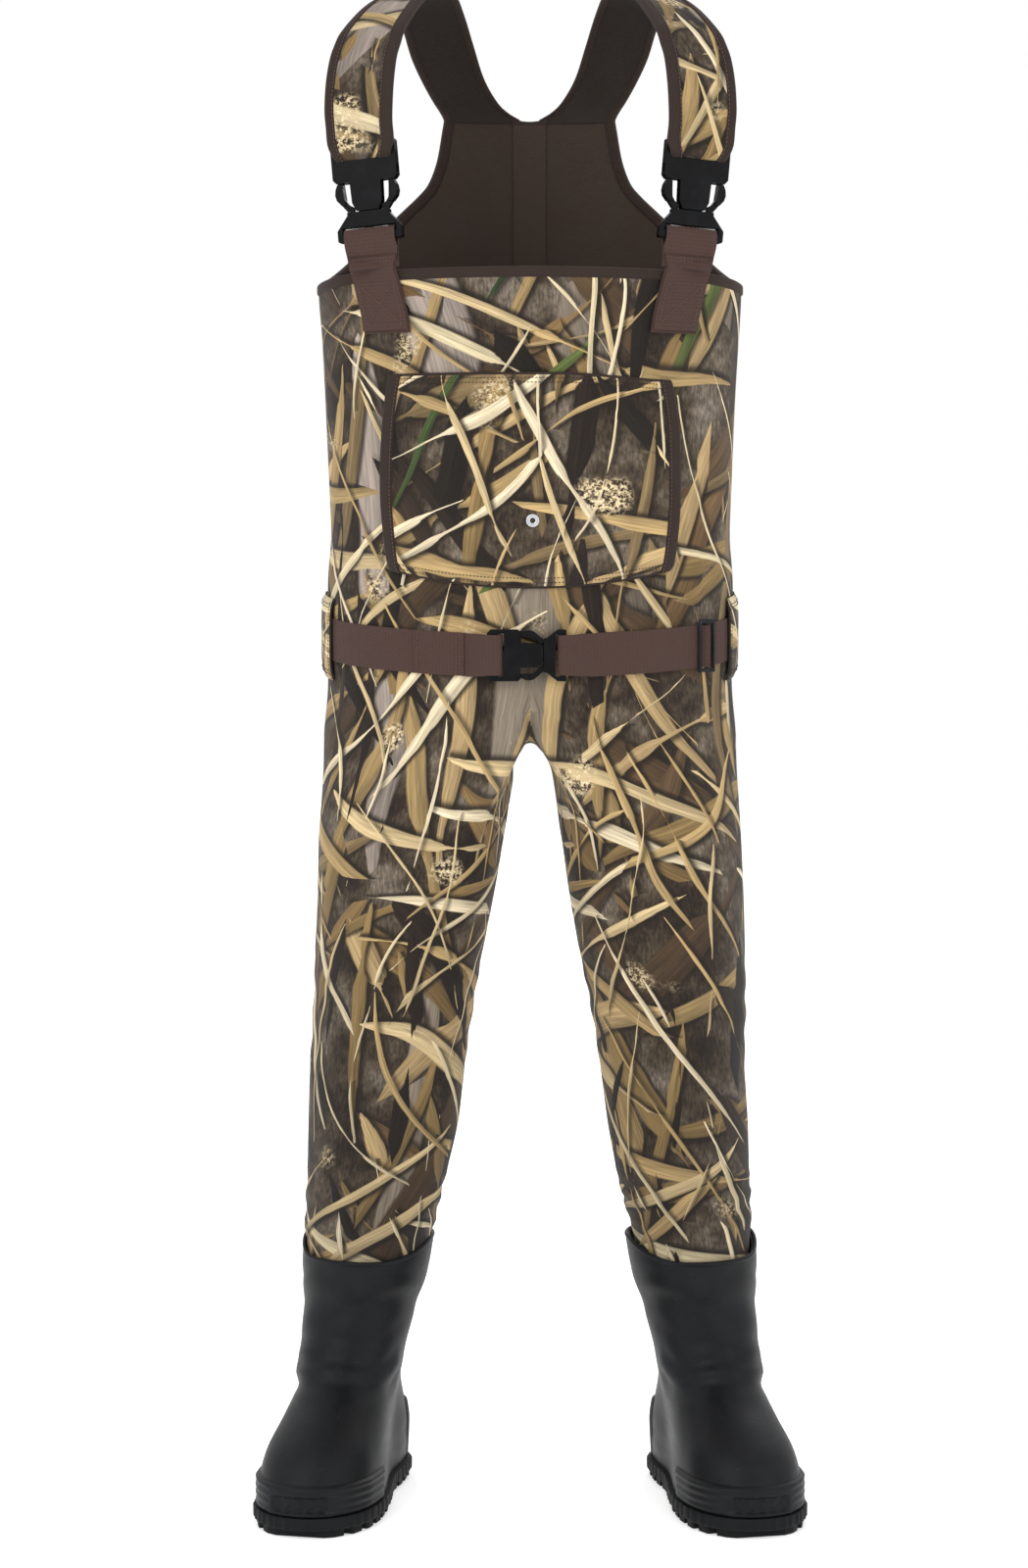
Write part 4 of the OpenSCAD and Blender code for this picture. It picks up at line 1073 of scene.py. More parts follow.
for s in GARMENT:
    s.V = s.V + s.N * folds(s.V, s.N)[:, None]
shared_normals(GARMENT)
NEO = 4.6
bib = shell("bib", S_bib, NEO, [M_CAMO, M_LINING, M_NEO])
hip_l = shell("hip_left", S_hip_l, NEO, [M_CAMO, M_LINING, M_NEO])
hip_r = shell("hip_right", S_hip_r, NEO, [M_CAMO, M_LINING, M_NEO])
leg_l = shell("leg_left", S_leg_l, NEO * 0.85, [M_CAMO, M_LINING, M_NEO])
leg_r = shell("leg_right", S_leg_r, NEO * 0.85, [M_CAMO, M_LINING, M_NEO])
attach(bib, "torso")
for o, side, nm in ((hip_l, 1, "left"), (hip_r, -1, "right")):
    a = math.radians(25)
    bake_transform(o)
for o, nm in ((leg_l, "left"), (leg_r, "right")):
    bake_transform(o)
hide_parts("torso_front_panel", "torso_back_panel", "crotch_gusset")
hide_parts("left_hip_section", "left_thigh")
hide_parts("right_hip_section", "right_thigh")
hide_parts("left_knee_section", "left_shin")
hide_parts("right_knee_section", "right_shin")



# ------------------------------------------------------------------ bound edge round the bib: top of the front, then up both armholes
fr = np.linspace(-90, 90, 121)
top = oval(fr, front_top(fr), -NEO / 2)
top_n = unit(oval(fr, front_top(fr), 1.0) - oval(fr, front_top(fr), 0.0))


def arm_path(sign):
    x = sign * np.interp(np.linspace(0, s_arm[-1], 70), s_arm, ARM_S[:, 0])
    z = np.interp(np.linspace(0, s_arm[-1], 70), s_arm, ARM_S[:, 1])
    P = back_pt(x, z, -NEO / 2)
    Nn = unit(back_pt(x, z, 1.0) - back_pt(x, z, 0.0))
    return P, Nn


lP, lN = arm_path(1)
rP, rN = arm_path(-1)
path = np.concatenate([rP[::-1], top[1:-1], lP])
pn = np.concatenate([rN[::-1], top_n[1:-1], lN])
tang = unit(np.gradient(path, axis=0))
for _ in range(3):
    tang[1:-1] = unit(tang[:-2] + 2 * tang[1:-1] + tang[2:])
into = unit(np.cross(pn, tang))  # along the cloth, away from its edge or towards it
if into[len(into) // 2][2] > 0:
    into = -into
sec = rounded(9.2, NEO + 2.4, 2.6, 4)
sec = sec + np.array([3.2, 0.0])
bib_bind = sweep("bib_binding", path, into, pn, sec, [M_BIND], sharp=60)
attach(bib_bind, "torso")
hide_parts("chest_binding", "left_armhole_binding", "right_armhole_binding")

# ------------------------------------------------------------------ sheets from rows of (centre, width direction, width)
def strip_frames(rows):
    """rows: list of (outer edge A, outer edge B) pairs already sampled, returning the across and along directions and the outward normal."""
    rows = np.asarray(rows, float)
    A, B = rows[:, 0], rows[:, 1]
    w = unit(B - A)
    mid = (A + B) / 2
    t = unit(np.gradient(mid, axis=0))
    for _ in range(2):
        t[1:-1] = unit(t[:-2] + 2 * t[1:-1] + t[2:])
    n = unit(np.cross(w, t))
    return A, B, w, t, n


def strip(name, rows, thick, mats, ncol=12, crown=0.6, sgn=1.0, u0=0.0, v0=0.0):
    """A flat band as a closed sheet. The outer face is the one given; crown lifts its middle a little."""
    A, B, w, t, n = strip_frames(rows)
    n = n * sgn
    h = np.linspace(0, 1, ncol + 1)
    P = A[:, None] * (1 - h)[None, :, None] + B[:, None] * h[None, :, None]
    P = P + n[:, None] * (crown * (1 - (2 * h - 1) ** 2))[None, :, None]
    wid = np.linalg.norm(B - A, axis=1)
    s = np.concatenate([[0], np.cumsum(np.linalg.norm(np.diff((A + B) / 2, axis=0), axis=1))])
    U = (wid[:, None] * (h - 0.5)[None]) / 1000 + u0
    V = np.broadcast_to((s / 1000 + v0)[:, None], U.shape)
    S = grid_surf(P, np.stack([U, V], -1))
    fnm = unit(face_normals(S.V, S.quads))
    row_n = np.repeat(n[:-1], ncol, axis=0)
    if (fnm * row_n).sum(1).mean() < 0:
        S.quads, S.quv = S.quads[:, ::-1], S.quv[:, ::-1]
    shared_normals([S])
    o = shell(name, S, thick, mats)
    return o, (A, B, w, t, n, s, wid)


def mirror_rows(rows):
    R = np.asarray(rows, float) * np.array([-1.0, 1.0, 1.0])
    return R[:, ::-1]


def sgn_rows(rows, side):
    return np.asarray(rows, float) if side > 0 else np.asarray(rows, float) * np.array([-1.0, 1.0, 1.0])


def rotm(y, z):
    cy, sy, cz, sz = math.cos(math.radians(y)), math.sin(math.radians(y)), math.cos(math.radians(z)), math.sin(math.radians(z))
    ry = np.array([[cy, 0, sy], [0, 1, 0], [-sy, 0, cy]])
    rz = np.array([[cz, -sz, 0], [sz, cz, 0], [0, 0, 1]])
    return rz @ ry


R_SH = rotm(5, 12)


def sh(p):
    """Shoulder buckle frame to millimetres above the soles, left side."""
    return R_SH @ np.asarray(p, float) + np.array([127.0, -77.0, 1043.0])


# ------------------------------------------------------------------ shoulder straps
STRAP = [
    [(110, -88.5, 1127.4), (161, -78, 1123)], [(109, -84, 1146), (160, -75, 1144)], [(107, -76, 1166), (157.5, -67, 1163)],
    [(104, -70, 1178), (154, -62, 1175)], [(100, -62, 1192), (149, -54, 1187)], [(88, -37, 1216), (136.5, -31, 1206)],
    [(77, -8, 1233), (124.5, -5, 1220)], [(70, 12, 1237), (117, 13, 1224)], [(62, 38, 1233), (109, 38, 1221)],
    [(55, 62, 1218), (103, 60, 1206)], [(48, 80, 1197), (97, 77, 1187)], [(39.5, 93, 1172), (88, 88, 1168)],
    [(28, 99.6, 1152.5), (79, 93.6, 1152)], [(19, 101.2, 1143), (74, 92.2, 1144)], [(10, 101.5, 1138.0), (70.8, 91.7, 1138.0)], [(8, 101.4, 1134.8), (70.0, 91.5, 1134.8)]]
LOOP = [(-1.2, 94, 46), (-1.2, 82, 46), (2.0, 71, 46), (8.4, 61, 46), (11.4, 52, 45), (10.6, 46.2, 43.5), (7.0, 42.6, 42.5), (3.0, 41.6, 42.5),
        (-3.0, 41.6, 42.5), (-7.4, 43.4, 43.5), (-9.8, 48.0, 47.5), (-10.4, 55, 51), (-10.4, 68, 51)]
strap_objs = {}
for side, nm in ((1, "left"), (-1, "right")):
    loop_rows = [[sh((-w / 2, y, z)), sh((w / 2, y, z))] for y, z, w in LOOP]
    rows = spline(np.array([list(map(list, r)) for r in (loop_rows + STRAP)], float), 8)
    rows = resample(rows, 3.6)
    rows = sgn_rows(rows, side)
    # the straps' inner faces take the darker lining copy, painted shade
    o, (A, B, w, t, n, s, wid) = strip("strap_" + nm, rows, 4.6, [M_CAMO, M_LINING_SHADED, M_NEO], 12, 0.7, side, u0=1.2 + side * 0.31, v0=0.4)
    # outward at the strap's front is away from the body
    strap_objs[nm] = o
    base = Vector(to_world(np.array([0, -37.0, 1216.0])))
    tip = Vector(to_world(np.array([0, -97.0, 1131.0])))
    pieces_on = []
    s_front = s > 26.0   # the folded end keeps raw edges up to the bar
    for tag, E, wd, width in (("inner", A, w, 10.6), ("outer", B, -w, 8.2)):
        keep = s > 44.0
        Pn = (E - n * 2.3)[keep]
        Nn, Wd = n[keep], wd[keep]
        if tag == "inner":
            end = np.array([0.0, 102.0 - 2.3, 1135.2])
            Pn = np.concatenate([Pn, [0.5 * (Pn[-1] + end) + np.array([0, 0.2, -0.4]), end]])
            Nn = np.concatenate([Nn, [Nn[-1], [0, 1.0, 0]]])
            Wd = np.concatenate([Wd, [unit(Wd[-1] + np.array([0, 0, -1.6])), [0, 0, -1.0]]])
        near = 1 - sstep((np.arange(len(Pn)) / max(len(Pn) - 1, 1) - 0.30) / 0.35)
        sec = np.array([rounded(q, 4.6 + 2.2, 2.4, 3) + np.array([q / 2 - 1.4, 0.35]) for q in 6.6 + (width - 6.6) * near])
        b = sweep("strap_binding_%s_%s" % (tag, nm), Pn, Wd, Nn, sec, [M_BIND], sharp=60)
        pieces_on.append(b)
        kk = s[keep]
        Pst = (E - n * 2.3)[keep] + wd[keep] * (6.6 + (width - 6.6) * near[:keep.sum()] - 3.0)[:, None] + n[keep] * (2.3 + 1.45)
        st = stitches("strap_stitch_%s_%s" % (tag, nm), [(Pst, n[keep])], pitch=3.4, length=2.3, r=0.4, lift=0.15)
        pieces_on.append(st)
    for q in [o] + pieces_on:
        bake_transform(q)
    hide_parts(nm + "_shoulder_strap", nm + "_strap_lower", nm + "_strap_end")

# the same roll carried round the bottom of the neck opening
xx = np.linspace(-15, 15, 21)
Pn = np.stack([xx, 99.6 - 0.004 * xx ** 2, 1135.1 + 0.012 * xx ** 2], -1)
neck = sweep("neckline_roll", Pn, np.repeat([[0, 0, -1.0]], 21, 0), np.repeat([[0, 1.0, 0]], 21, 0), rounded(7.4, 7.4, 2.6, 3) + np.array([1.6, 0.2]), [M_BIND], sharp=60)
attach(neck, "torso")
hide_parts("neckline_binding")

# ------------------------------------------------------------------ chest tabs through the plugs
for side, nm in ((1, "left"), (-1, "right")):
    ex = R_SH @ np.array([1.0, 0, 0])
    spec = []
    for f, z, off, wd in ((30.2, 948, 2.9, 42), (30.4, 962, 3.1, 42), (30.6, 976, 3.2, 42), (30.9, 990, 3.6, 42), (31.2, 1000, 5.0, 42)):
        c = oval(f, z, off)
        g = math.radians(f)
        spec.append((c, np.array([math.cos(g), math.sin(g), 0]), wd))
    for x, y, z, wd in ((-0.8, -6.9, -31, 41.4), (0, -7.9, -24, 41), (0, -7.8, -17.5, 40.6), (0, -6.2, -13.4, 40.4), (0, -2.5, -12.3, 40.4), (0, 2.5, -12.3, 40.4),
                        (0, 6.4, -13.8, 40.4), (0, 7.9, -18.5, 40.4), (0, 7.0, -25, 40.4), (-0.4, 2.2, -32, 40.4), (-0.8, -1.6, -39, 40.4), (-1.2, -3.4, -45, 40.4)):
        spec.append((sh((x, y, z)), ex, wd))
    rows = np.array([[c - e * w_ / 2, c + e * w_ / 2] for c, e, w_ in spec])
    rows = resample(spline(rows, 8), 2.2)
    rows = sgn_rows(rows, side)
    o, (A, B, w, t, n, s, wid) = strip("chest_tab_" + nm, rows, 2.3, [M_WEB, M_WEB, M_WEB], 10, 0.35, side)
    # sewn patch: a second ply with its folded end, then the box and cross of stitching
    mid = (A + B) / 2
    cap_rows = resample(np.stack([A, B], 1)[(s > 1.0) & (s < 64.0)] + (n * 1.5)[(s > 1.0) & (s < 64.0)][:, None], 2.2)
    cap_rows = cap_rows + (cap_rows[:, ::-1] - cap_rows) * 0.012
    ply, (A2, B2, w2, t2, n2, s2, wid2) = strip("chest_tab_ply_" + nm, cap_rows, 1.5, [M_WEB, M_WEB, M_WEB], 10, 0.3, side, v0=0.0009)

    def on(h, q):
        a = np.stack([np.interp(q, s2, A2[:, k]) for k in range(3)], -1)
        b = np.stack([np.interp(q, s2, B2[:, k]) for k in range(3)], -1)
        nn = unit(np.stack([np.interp(q, s2, n2[:, k]) for k in range(3)], -1))
        return a * (1 - h)[:, None] + b * h[:, None] + nn * (0.3 * (1 - (2 * h - 1) ** 2))[:, None], nn

    lines = []
    lo, hi = 4.0, 38.0
    for (h0, q0), (h1, q1) in (((0.1, lo), (0.9, lo)), ((0.9, lo), (0.9, hi)), ((0.9, hi), (0.1, hi)), ((0.1, hi), (0.1, lo)),
                               ((0.1, lo), (0.9, hi)), ((0.9, lo), (0.1, hi)), ((0.06, 59.0), (0.94, 59.0)), ((0.06, 56.4), (0.94, 56.4))):
        tt = np.linspace(0, 1, 20)
        lines.append(on(h0 + (h1 - h0) * tt, q0 + (q1 - q0) * tt))
    st = stitches("chest_tab_stitch_" + nm, lines, pitch=2.9, length=2.1, r=0.42, lift=0.1)
    for q in (o, ply, st):
        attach(q, "torso")
    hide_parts(nm + "_chest_tab")

# ------------------------------------------------------------------ hand pocket
PF = 30.0


def pocket_low(f):
    return 748.0 + 14.0 * (np.abs(f) / 30.0) ** 2


def pocket_off(v):
    return 2.6 + 20.6 * np.sin(np.pi * np.clip(v, 0, 1) ** 0.85) ** 0.75


nf, nv = 48, 46
ff = np.linspace(-PF, PF, nf + 1)
vv = np.linspace(0, 1, nv + 1)
lo_z = pocket_low(ff)
hi_z = 915.0 - 4.5 * sstep((ff - 5) / 25)
Zp = lo_z[None] + (hi_z - lo_z)[None] * vv[:, None]
off = pocket_off(vv)[:, None] * np.ones(nf + 1)[None]
off = off * (1 - 0.10 * (np.abs(ff) / PF)[None] ** 2) + 0.9 * waves(np.stack([ff[None] * 4 + 0 * Zp, Zp * 0, Zp], -1), 80.0, 21) * np.sin(np.pi * vv)[:, None]
# the sewn lower edge is puckered a little
off = off + 0.5 * np.sin(ff[None] * 1.3) * np.exp(-vv[:, None] / 0.08) * (vv[:, None] > 0)
PP = oval(ff[None] + 0 * Zp, Zp, off)
arc_p = np.interp(ff, F_FULL, ARC_FULL)
S_p = grid_surf(PP, np.stack([arc_p[None] / 1000 + 0 * Zp, Zp / 1000], -1))
shared_normals([S_p])
pocket = shell("pocket", S_p, 2.8, [M_CAMO_B, M_LINING, M_NEO])
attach(pocket, "torso")
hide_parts("pocket_pouch")
pocket_bits = []
for side, nm in ((1, "left"), (-1, "right")):
    col = -1 if side > 0 else 0
    E = PP[:, col]
    Nn = S_p.N.reshape(PP.shape)[:, col]
    inn = unit(PP[:, col - 1 if side > 0 else 1] - E)
    b = sweep("pocket_binding_" + nm, E - Nn * 1.4, inn, Nn, rounded(11.5, 5.0, 2.0, 3) + np.array([4.4, 0.1]), [M_BIND], sharp=60)
    st = stitches("pocket_binding_stitch_" + nm, [(E + inn * 8.6 + Nn * 1.15, Nn)], pitch=3.2, length=2.2, r=0.4, lift=0.2)
    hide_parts(nm + "_pocket_binding")
    pocket_bits += [b, st]
top_line = (PP[-1] + S_p.N.reshape(PP.shape)[-1] * 0.2, S_p.N.reshape(PP.shape)[-1])
lines = []
for r in (-2, -3):
    lines.append((PP[r][2:-2], S_p.N.reshape(PP.shape)[r][2:-2]))
for r in (1, 2):
    lines.append((PP[r][2:-2], S_p.N.reshape(PP.shape)[r][2:-2]))
st = stitches("pocket_seam_stitch", lines, M_THREAD_D, pitch=2.9, length=2.1, r=0.36, lift=0.12)
pocket_bits.append(st)
# rolled seams where the pocket is sewn on
for r, tag, r0 in ((-1, "top", 1.5), (0, "bottom", 1.4)):
    E = PP[r]
    Nn = S_p.N.reshape(PP.shape)[r]
    tt = unit(np.gradient(E, axis=0))
    b = sweep("pocket_seam_" + tag, E - Nn * 1.2, unit(np.cross(Nn, tt)), Nn, rounded(3.4, 3.4, 1.5, 3), [M_BIND], sharp=60)
    pocket_bits.append(b)
for q in pocket_bits:
    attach(q, "torso")

# ------------------------------------------------------------------ belt, its tail, loops and the slider's fold
WA, WB = 164.5, 106.0


def waist(f, off):
    x, y = oval_ab(WA, WB, off, f)
    return x, y


def belt_rows(fs, offs, hgt=34.0, skirt=0.0):
    x, y = waist(np.asarray(fs, float), np.asarray(offs, float))
    zc = 711.0 + y * 16.0 / 106.0
    c = np.stack([x, y, zc], -1)
    up = np.array([0, 0, hgt / 2])
    return np.stack([c - up, c + up], 1)


def web(name, rows, sgn, thick=1.4, crown=0.12, ncol=8):
    o, fr_ = strip(name, rows, thick, [M_WEB] * 3, ncol, crown, sgn)
    return o, fr_


OFF = 1.9
back_rows = belt_rows(np.linspace(90, 270, 90), np.full(90, OFF))
o_back, f_b = web("belt_web_back", back_rows, -1)
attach(o_back, "torso")
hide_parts("belt_webbing_back")
belt_bits = {"back": o_back}
# front length to the socket (image left), passing behind the socket's bar and up into its slot
fr_f = np.linspace(-90, -14, 44)
r1 = belt_rows(fr_f, np.full(44, OFF))
r1b = np.array([[[x, y, 695 - h_], [x, y, 695 + h_]] for x, y, h_ in (
    (-50.2, -102.6, 17.0), (-46.2, -105.2, 16.9), (-42.2, -108.6, 16.7), (-38.2, -112.4, 16.4), (-34.6, -115.4, 16.0), (-31.0, -117.0, 15.8),
    (-27.0, -117.4, 15.8), (-24.0, -116.6, 15.7), (-22.4, -114.4, 15.6), (-22.2, -111.6, 15.6))])
rows = resample(np.concatenate([r1, spline(r1b, 5)]), 3.0)
o_r, (A, B, w, t, n, s, wid) = web("belt_web_right", rows, -1)
end_x = -40.0
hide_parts("belt_webbing_right")
belt_bits["right"] = o_r
# folded and sewn end of that length
sel = (A[:, 0] > -92) & (A[:, 0] < -50)
ply_rows = np.stack([A, B], 1)[sel] + (n * 1.2)[sel][:, None]
o_rp, (A3, B3, w3, t3, n3, s3, wid3) = web("belt_web_right_ply", ply_rows, -1)
st_lines = []
for q in (3.0, s3[-1] - 3.0, s3[-1] - 6.0):
    a = np.array([np.interp(q, s3, A3[:, k]) for k in range(3)])
    b = np.array([np.interp(q, s3, B3[:, k]) for k in range(3)])
    nn = unit(np.array([np.interp(q, s3, n3[:, k]) for k in range(3)]))
    tt = np.linspace(0.06, 0.94, 16)[:, None]
    st_lines.append((a + (b - a) * tt, np.repeat(nn[None], 16, 0)))
o_rs = stitches("belt_stitch_right", st_lines, pitch=2.8, length=2.0, r=0.38, lift=0.2)
for q in (o_r, o_rp, o_rs):
    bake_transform(q)
# front length to the plug (image right)
fl_f = np.linspace(90, 14, 44)
r2 = belt_rows(fl_f, np.full(44, OFF))
r2b = np.array([[[x, y, 695 - h_], [x, y, 695 + h_]] for x, y, h_ in (
    (50.2, -102.6, 17.0), (44.0, -104.4, 16.9), (38.0, -106.2, 16.5), (31.5, -107.1, 15.8), (26.6, -107.0, 15.6), (23.8, -107.3, 15.6),
    (22.9, -108.6, 15.6), (22.7, -111.0, 15.6))])
rows = resample(np.concatenate([r2, spline(r2b, 5)]), 3.0)
o_l, f_l = web("belt_web_left", rows, 1)
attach(o_l, "torso")
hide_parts("belt_webbing_left")
belt_bits["left"] = o_l
# the free tail doubled back over it, from the plug's bar to the slider
tf = np.linspace(14, 37.6, 28)
r3 = belt_rows(tf, np.full(28, OFF + 1.8))
r3b = np.array([[[x, y, 695 - h_], [x, y, 695 + h_]] for x, y, h_ in (
    (21.3, -111.0, 15.6), (21.5, -113.6, 15.6), (23.0, -115.7, 15.6), (26.0, -116.4, 15.6), (29.5, -115.6, 15.8), (34.5, -113.0, 16.2), (41.0, -109.2, 16.6), (47.0, -106.0, 16.9))])
rows = resample(np.concatenate([spline(r3b, 5), r3]), 3.0)
o_t, f_t = web("belt_web_tail", rows, -1)
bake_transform(o_t)
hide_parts("belt_webbing_tail")
belt_bits["tail"] = o_t
sf = 39.5 + np.array([-2.6, -2.2, -1.6, -1.0, -0.45, 0, 0.45, 1.0, 1.6, 2.2, 2.6, 4.2, 6.4, 9.0])
so = np.array([1.9, 2.4, 3.8, 5.4, 6.6, 6.9, 6.6, 5.4, 3.8, 2.5, 2.0, 1.9, 1.9, 1.9]) + OFF
rows = resample(spline(belt_rows(sf, so, 33.0), 6), 0.9)
o_s, f_s = web("belt_web_slider_fold", rows, -1)
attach(o_s, "slider")

for nm, f0, f1, hgt in (("left", 64, 96, 66), ("right", -96, -64, 66), ("back", 173.3, 186.7, 60)):
    fs = np.linspace(f0, f1, 18)
    hs = np.linspace(-0.5, 0.5, 27)
    x, y = waist(fs, 0.0)
    zc = 711 + y * 16 / 106
    prof = 0.2 + 3.4 * (1 - np.abs(2 * hs) ** 5) * (1 - 0.25 * np.exp(-(hs / 0.12) ** 2) * 0)
    G = np.zeros((27, 18, 3))
    for r, (h, pr) in enumerate(zip(hs, prof)):
        xx, yy = waist(fs, pr + 1.8)
        G[r] = np.stack([xx, yy, zc + h * hgt], -1)
    arc = np.concatenate([[0], np.cumsum(np.linalg.norm(np.diff(G[0], axis=0), axis=1))]) / 1000
    S = grid_surf(G, np.stack([np.broadcast_to(arc[None] + 0.7, (27, 18)), G[..., 2] / 1000], -1))
    shared_normals([S])
    lp = shell("belt_loop_cloth_" + nm, S, 1.8, [M_CAMO, M_LINING, M_NEO])
    Nn = S.N.reshape(G.shape)
    bits = []
    for col, tag in ((0, "a"), (-1, "b")):
        inn = unit(G[:, 1 if col == 0 else -2] - G[:, col])
        bits.append(stitches("belt_loop_edge_%s_%s" % (nm, tag), [(G[:, col] + inn * 2.0, Nn[:, col])], M_THREAD_D, pitch=2.8, length=2.0, r=0.34, lift=0.1))
    bits.append(stitches("belt_loop_bar_" + nm, [(G[2], Nn[2]), (G[3], Nn[3]), (G[-3], Nn[-3]), (G[-4], Nn[-4])], M_THREAD_D, pitch=2.6, length=1.9, r=0.34, lift=0.1))
    for q in [lp] + bits:
        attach(q, "torso")
    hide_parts("belt_loop_" + nm)

# ------------------------------------------------------------------ boots
ANK = np.array([145.0, 30.0])
TOE = math.radians(13)
B_FRONT = smooth_table([0, 16, 40, 60, 74, 88, 104, 125, 154, 212], [168, 168, 166, 152, 128, 100, 78, 62, 53, 56], 4)
B_BACK = smooth_table([0, 16, 40, 60, 88, 104, 125, 154, 212], [64, 64, 66, 66, 61, 56, 50, 51, 56], 5)
B_WF = smooth_table([0, 16, 40, 60, 74, 88, 104, 125, 154, 212], [47, 47, 48, 45, 42, 41, 42, 43, 47.5, 52], 4)
B_WH = smooth_table([0, 16, 40, 60, 88, 104, 125, 154, 212], [35, 35, 36, 36, 38, 41, 43, 47.5, 52], 4)
B_DX = smooth_table([88, 115, 154, 212], [0, 1, -4, -10.5], 8)
B_DY = smooth_table([88, 154, 212], [0, -1, -4], 8)
_su = np.array([0, 0.012, 0.05, 0.12, 0.22, 0.34, 0.48, 0.6, 0.72, 0.82, 0.9, 0.96, 0.99, 1])
_sv = np.array([0, 0.38, 0.72, 0.95, 1, 0.97, 0.98, 1, 1, 0.95, 0.8, 0.56, 0.3, 0])
_th = np.arccos(1 - 2 * _su)
_tg = np.linspace(0, math.pi, 400)
_raw = np.interp(_tg, _th, _sv)
_k = np.exp(-0.5 * (np.arange(-18, 19) / 7.0) ** 2)
_k /= _k.sum()
_ext = np.concatenate([-_raw[1:19][::-1], _raw, -_raw[-19:-1][::-1]])
_shape = np.convolve(_ext, _k, mode="valid")


def boot_pt(th, z, off, zt=None):
    """th runs 0..2 pi from the heel by the inner side (0..pi), then back by the outer side."""
    th, z = np.broadcast_arrays(np.asarray(th, float), np.asarray(z, float))
    a = np.where(th > math.pi, 2 * math.pi - th, th)
    h = np.where(th > math.pi, 1.0, -1.0)
    u = (1 - np.cos(a)) / 2
    zf = z if zt is None else zt
    yf, yb = B_FRONT(zf) + off, B_BACK(zf) + off
    m = sstep((z - 46) / 56)
    w = B_WH(z) + (B_WF(z) - B_WH(z)) * sstep((u - 0.3) / 0.4) + off
    hw = w * ((1 - m) * np.interp(a, _tg, _shape) + m * np.sin(a))
    y = yb - u * (yf + yb)
    x = h * hw
    c, s_ = math.cos(TOE), math.sin(TOE)
    return np.stack([ANK[0] + B_DX(z) + x * c - y * s_, ANK[1] + B_DY(z) + x * s_ + y * c, z], -1)


def boot_front(P):
    """1 at the front of the foot, 0 at the back, from the turn round the ankle."""
    d = P[..., :2] - np.array([ANK[0] - 6, ANK[1] - 2])
    fwd = np.array([math.sin(TOE), -math.cos(TOE)])
    r = np.linalg.norm(d, axis=-1)
    return np.clip((d @ fwd) / np.maximum(r, 1e-6), -1, 1)


NT = 104
th = np.linspace(0, 2 * math.pi, NT + 1)
# columns a little closer at the toe and heel
zb = np.concatenate([[15.2, 16.4], np.linspace(19, 212, 62)])
TH, ZB = np.meshgrid(th, zb)
BP = boot_pt(TH, ZB, 0.0)
BP[:, -1] = BP[:, 0]
fr_b = boot_front(BP)
# the top edge dips in front
top_drop = 15.0 * sstep((fr_b + 0.15) / 1.1)
ZB2 = np.where(ZB > 120, 120 + (ZB - 120) * (92 - top_drop) / 92, ZB)
BP = boot_pt(TH, ZB2, 0.0)
BP[:, -1] = BP[:, 0]
S_b = grid_surf(BP, np.stack([TH * 0.07, ZB2 / 1000], -1), flip=True)
fnm = unit(face_normals(S_b.V, S_b.quads))
ctr = np.array([140.0, 10.0, 0.0])
if ((S_b.V[S_b.quads].mean(1) - ctr)[:, :2] * fnm[:, :2]).sum(1).mean() < 0:
    S_b.quads, S_b.quv = S_b.quads[:, ::-1], S_b.quv[:, ::-1]
shared_normals([S_b])


def creases(V):
    z = V[:, 2]
    f = boot_front(V)
    d = np.zeros(len(V))
    q = 6.0 * waves(V, 70.0, 30)
    for z0, dep, wid_, lo_, hi_ in ((101, 3.0, 7.0, 0.2, 1.2), (119, 2.0, 6.0, 0.45, 1.2), (137, 1.1, 6.5, 0.3, 1.3), (90, 1.4, 5.0, 0.65, 1.2), (163, 0.8, 8.0, -0.6, 0.8), (184, 0.6, 8.0, -0.2, 1.2)):
        zz = z - (z0 + q - 10 * (1 - f))
        d -= dep * np.exp(-(zz / wid_) ** 2) * sstep((f - lo_) / 0.4)
        d += 0.55 * dep * np.exp(-((zz - 1.6 * wid_) / (wid_ * 1.2)) ** 2) * sstep((f - lo_) / 0.4)
    d += 0.7 * waves(V, 62.0, 40) * sstep((z - 60) / 30) * sstep((205 - z) / 12)
    # back of the ankle
    for z0, dep in ((112, 1.1), (130, 0.8)):
        d -= dep * np.exp(-((z - z0 - q) / 6.0) ** 2) * sstep((-f - 0.3) / 0.4)
    # the rubber laps over the cloth at the top
    d += 3.3 * sstep((z - 156) / 24) * (0.3 + 0.7 * sstep((172 - V[:, 0]) / 50))
    # a moulded line where the foxing ends
    d += 0.7 * sstep((33 - z) / 2.0)
    return d


S_b.V = S_b.V + S_b.N * creases(S_b.V)[:, None]
shared_normals([S_b])


def mirror_surf(S):
    M = Surf(S.V * np.array([-1.0, 1.0, 1.0]), S.quads[:, ::-1], S.quv[:, ::-1])
    M.N = S.N * np.array([-1.0, 1.0, 1.0])
    return M


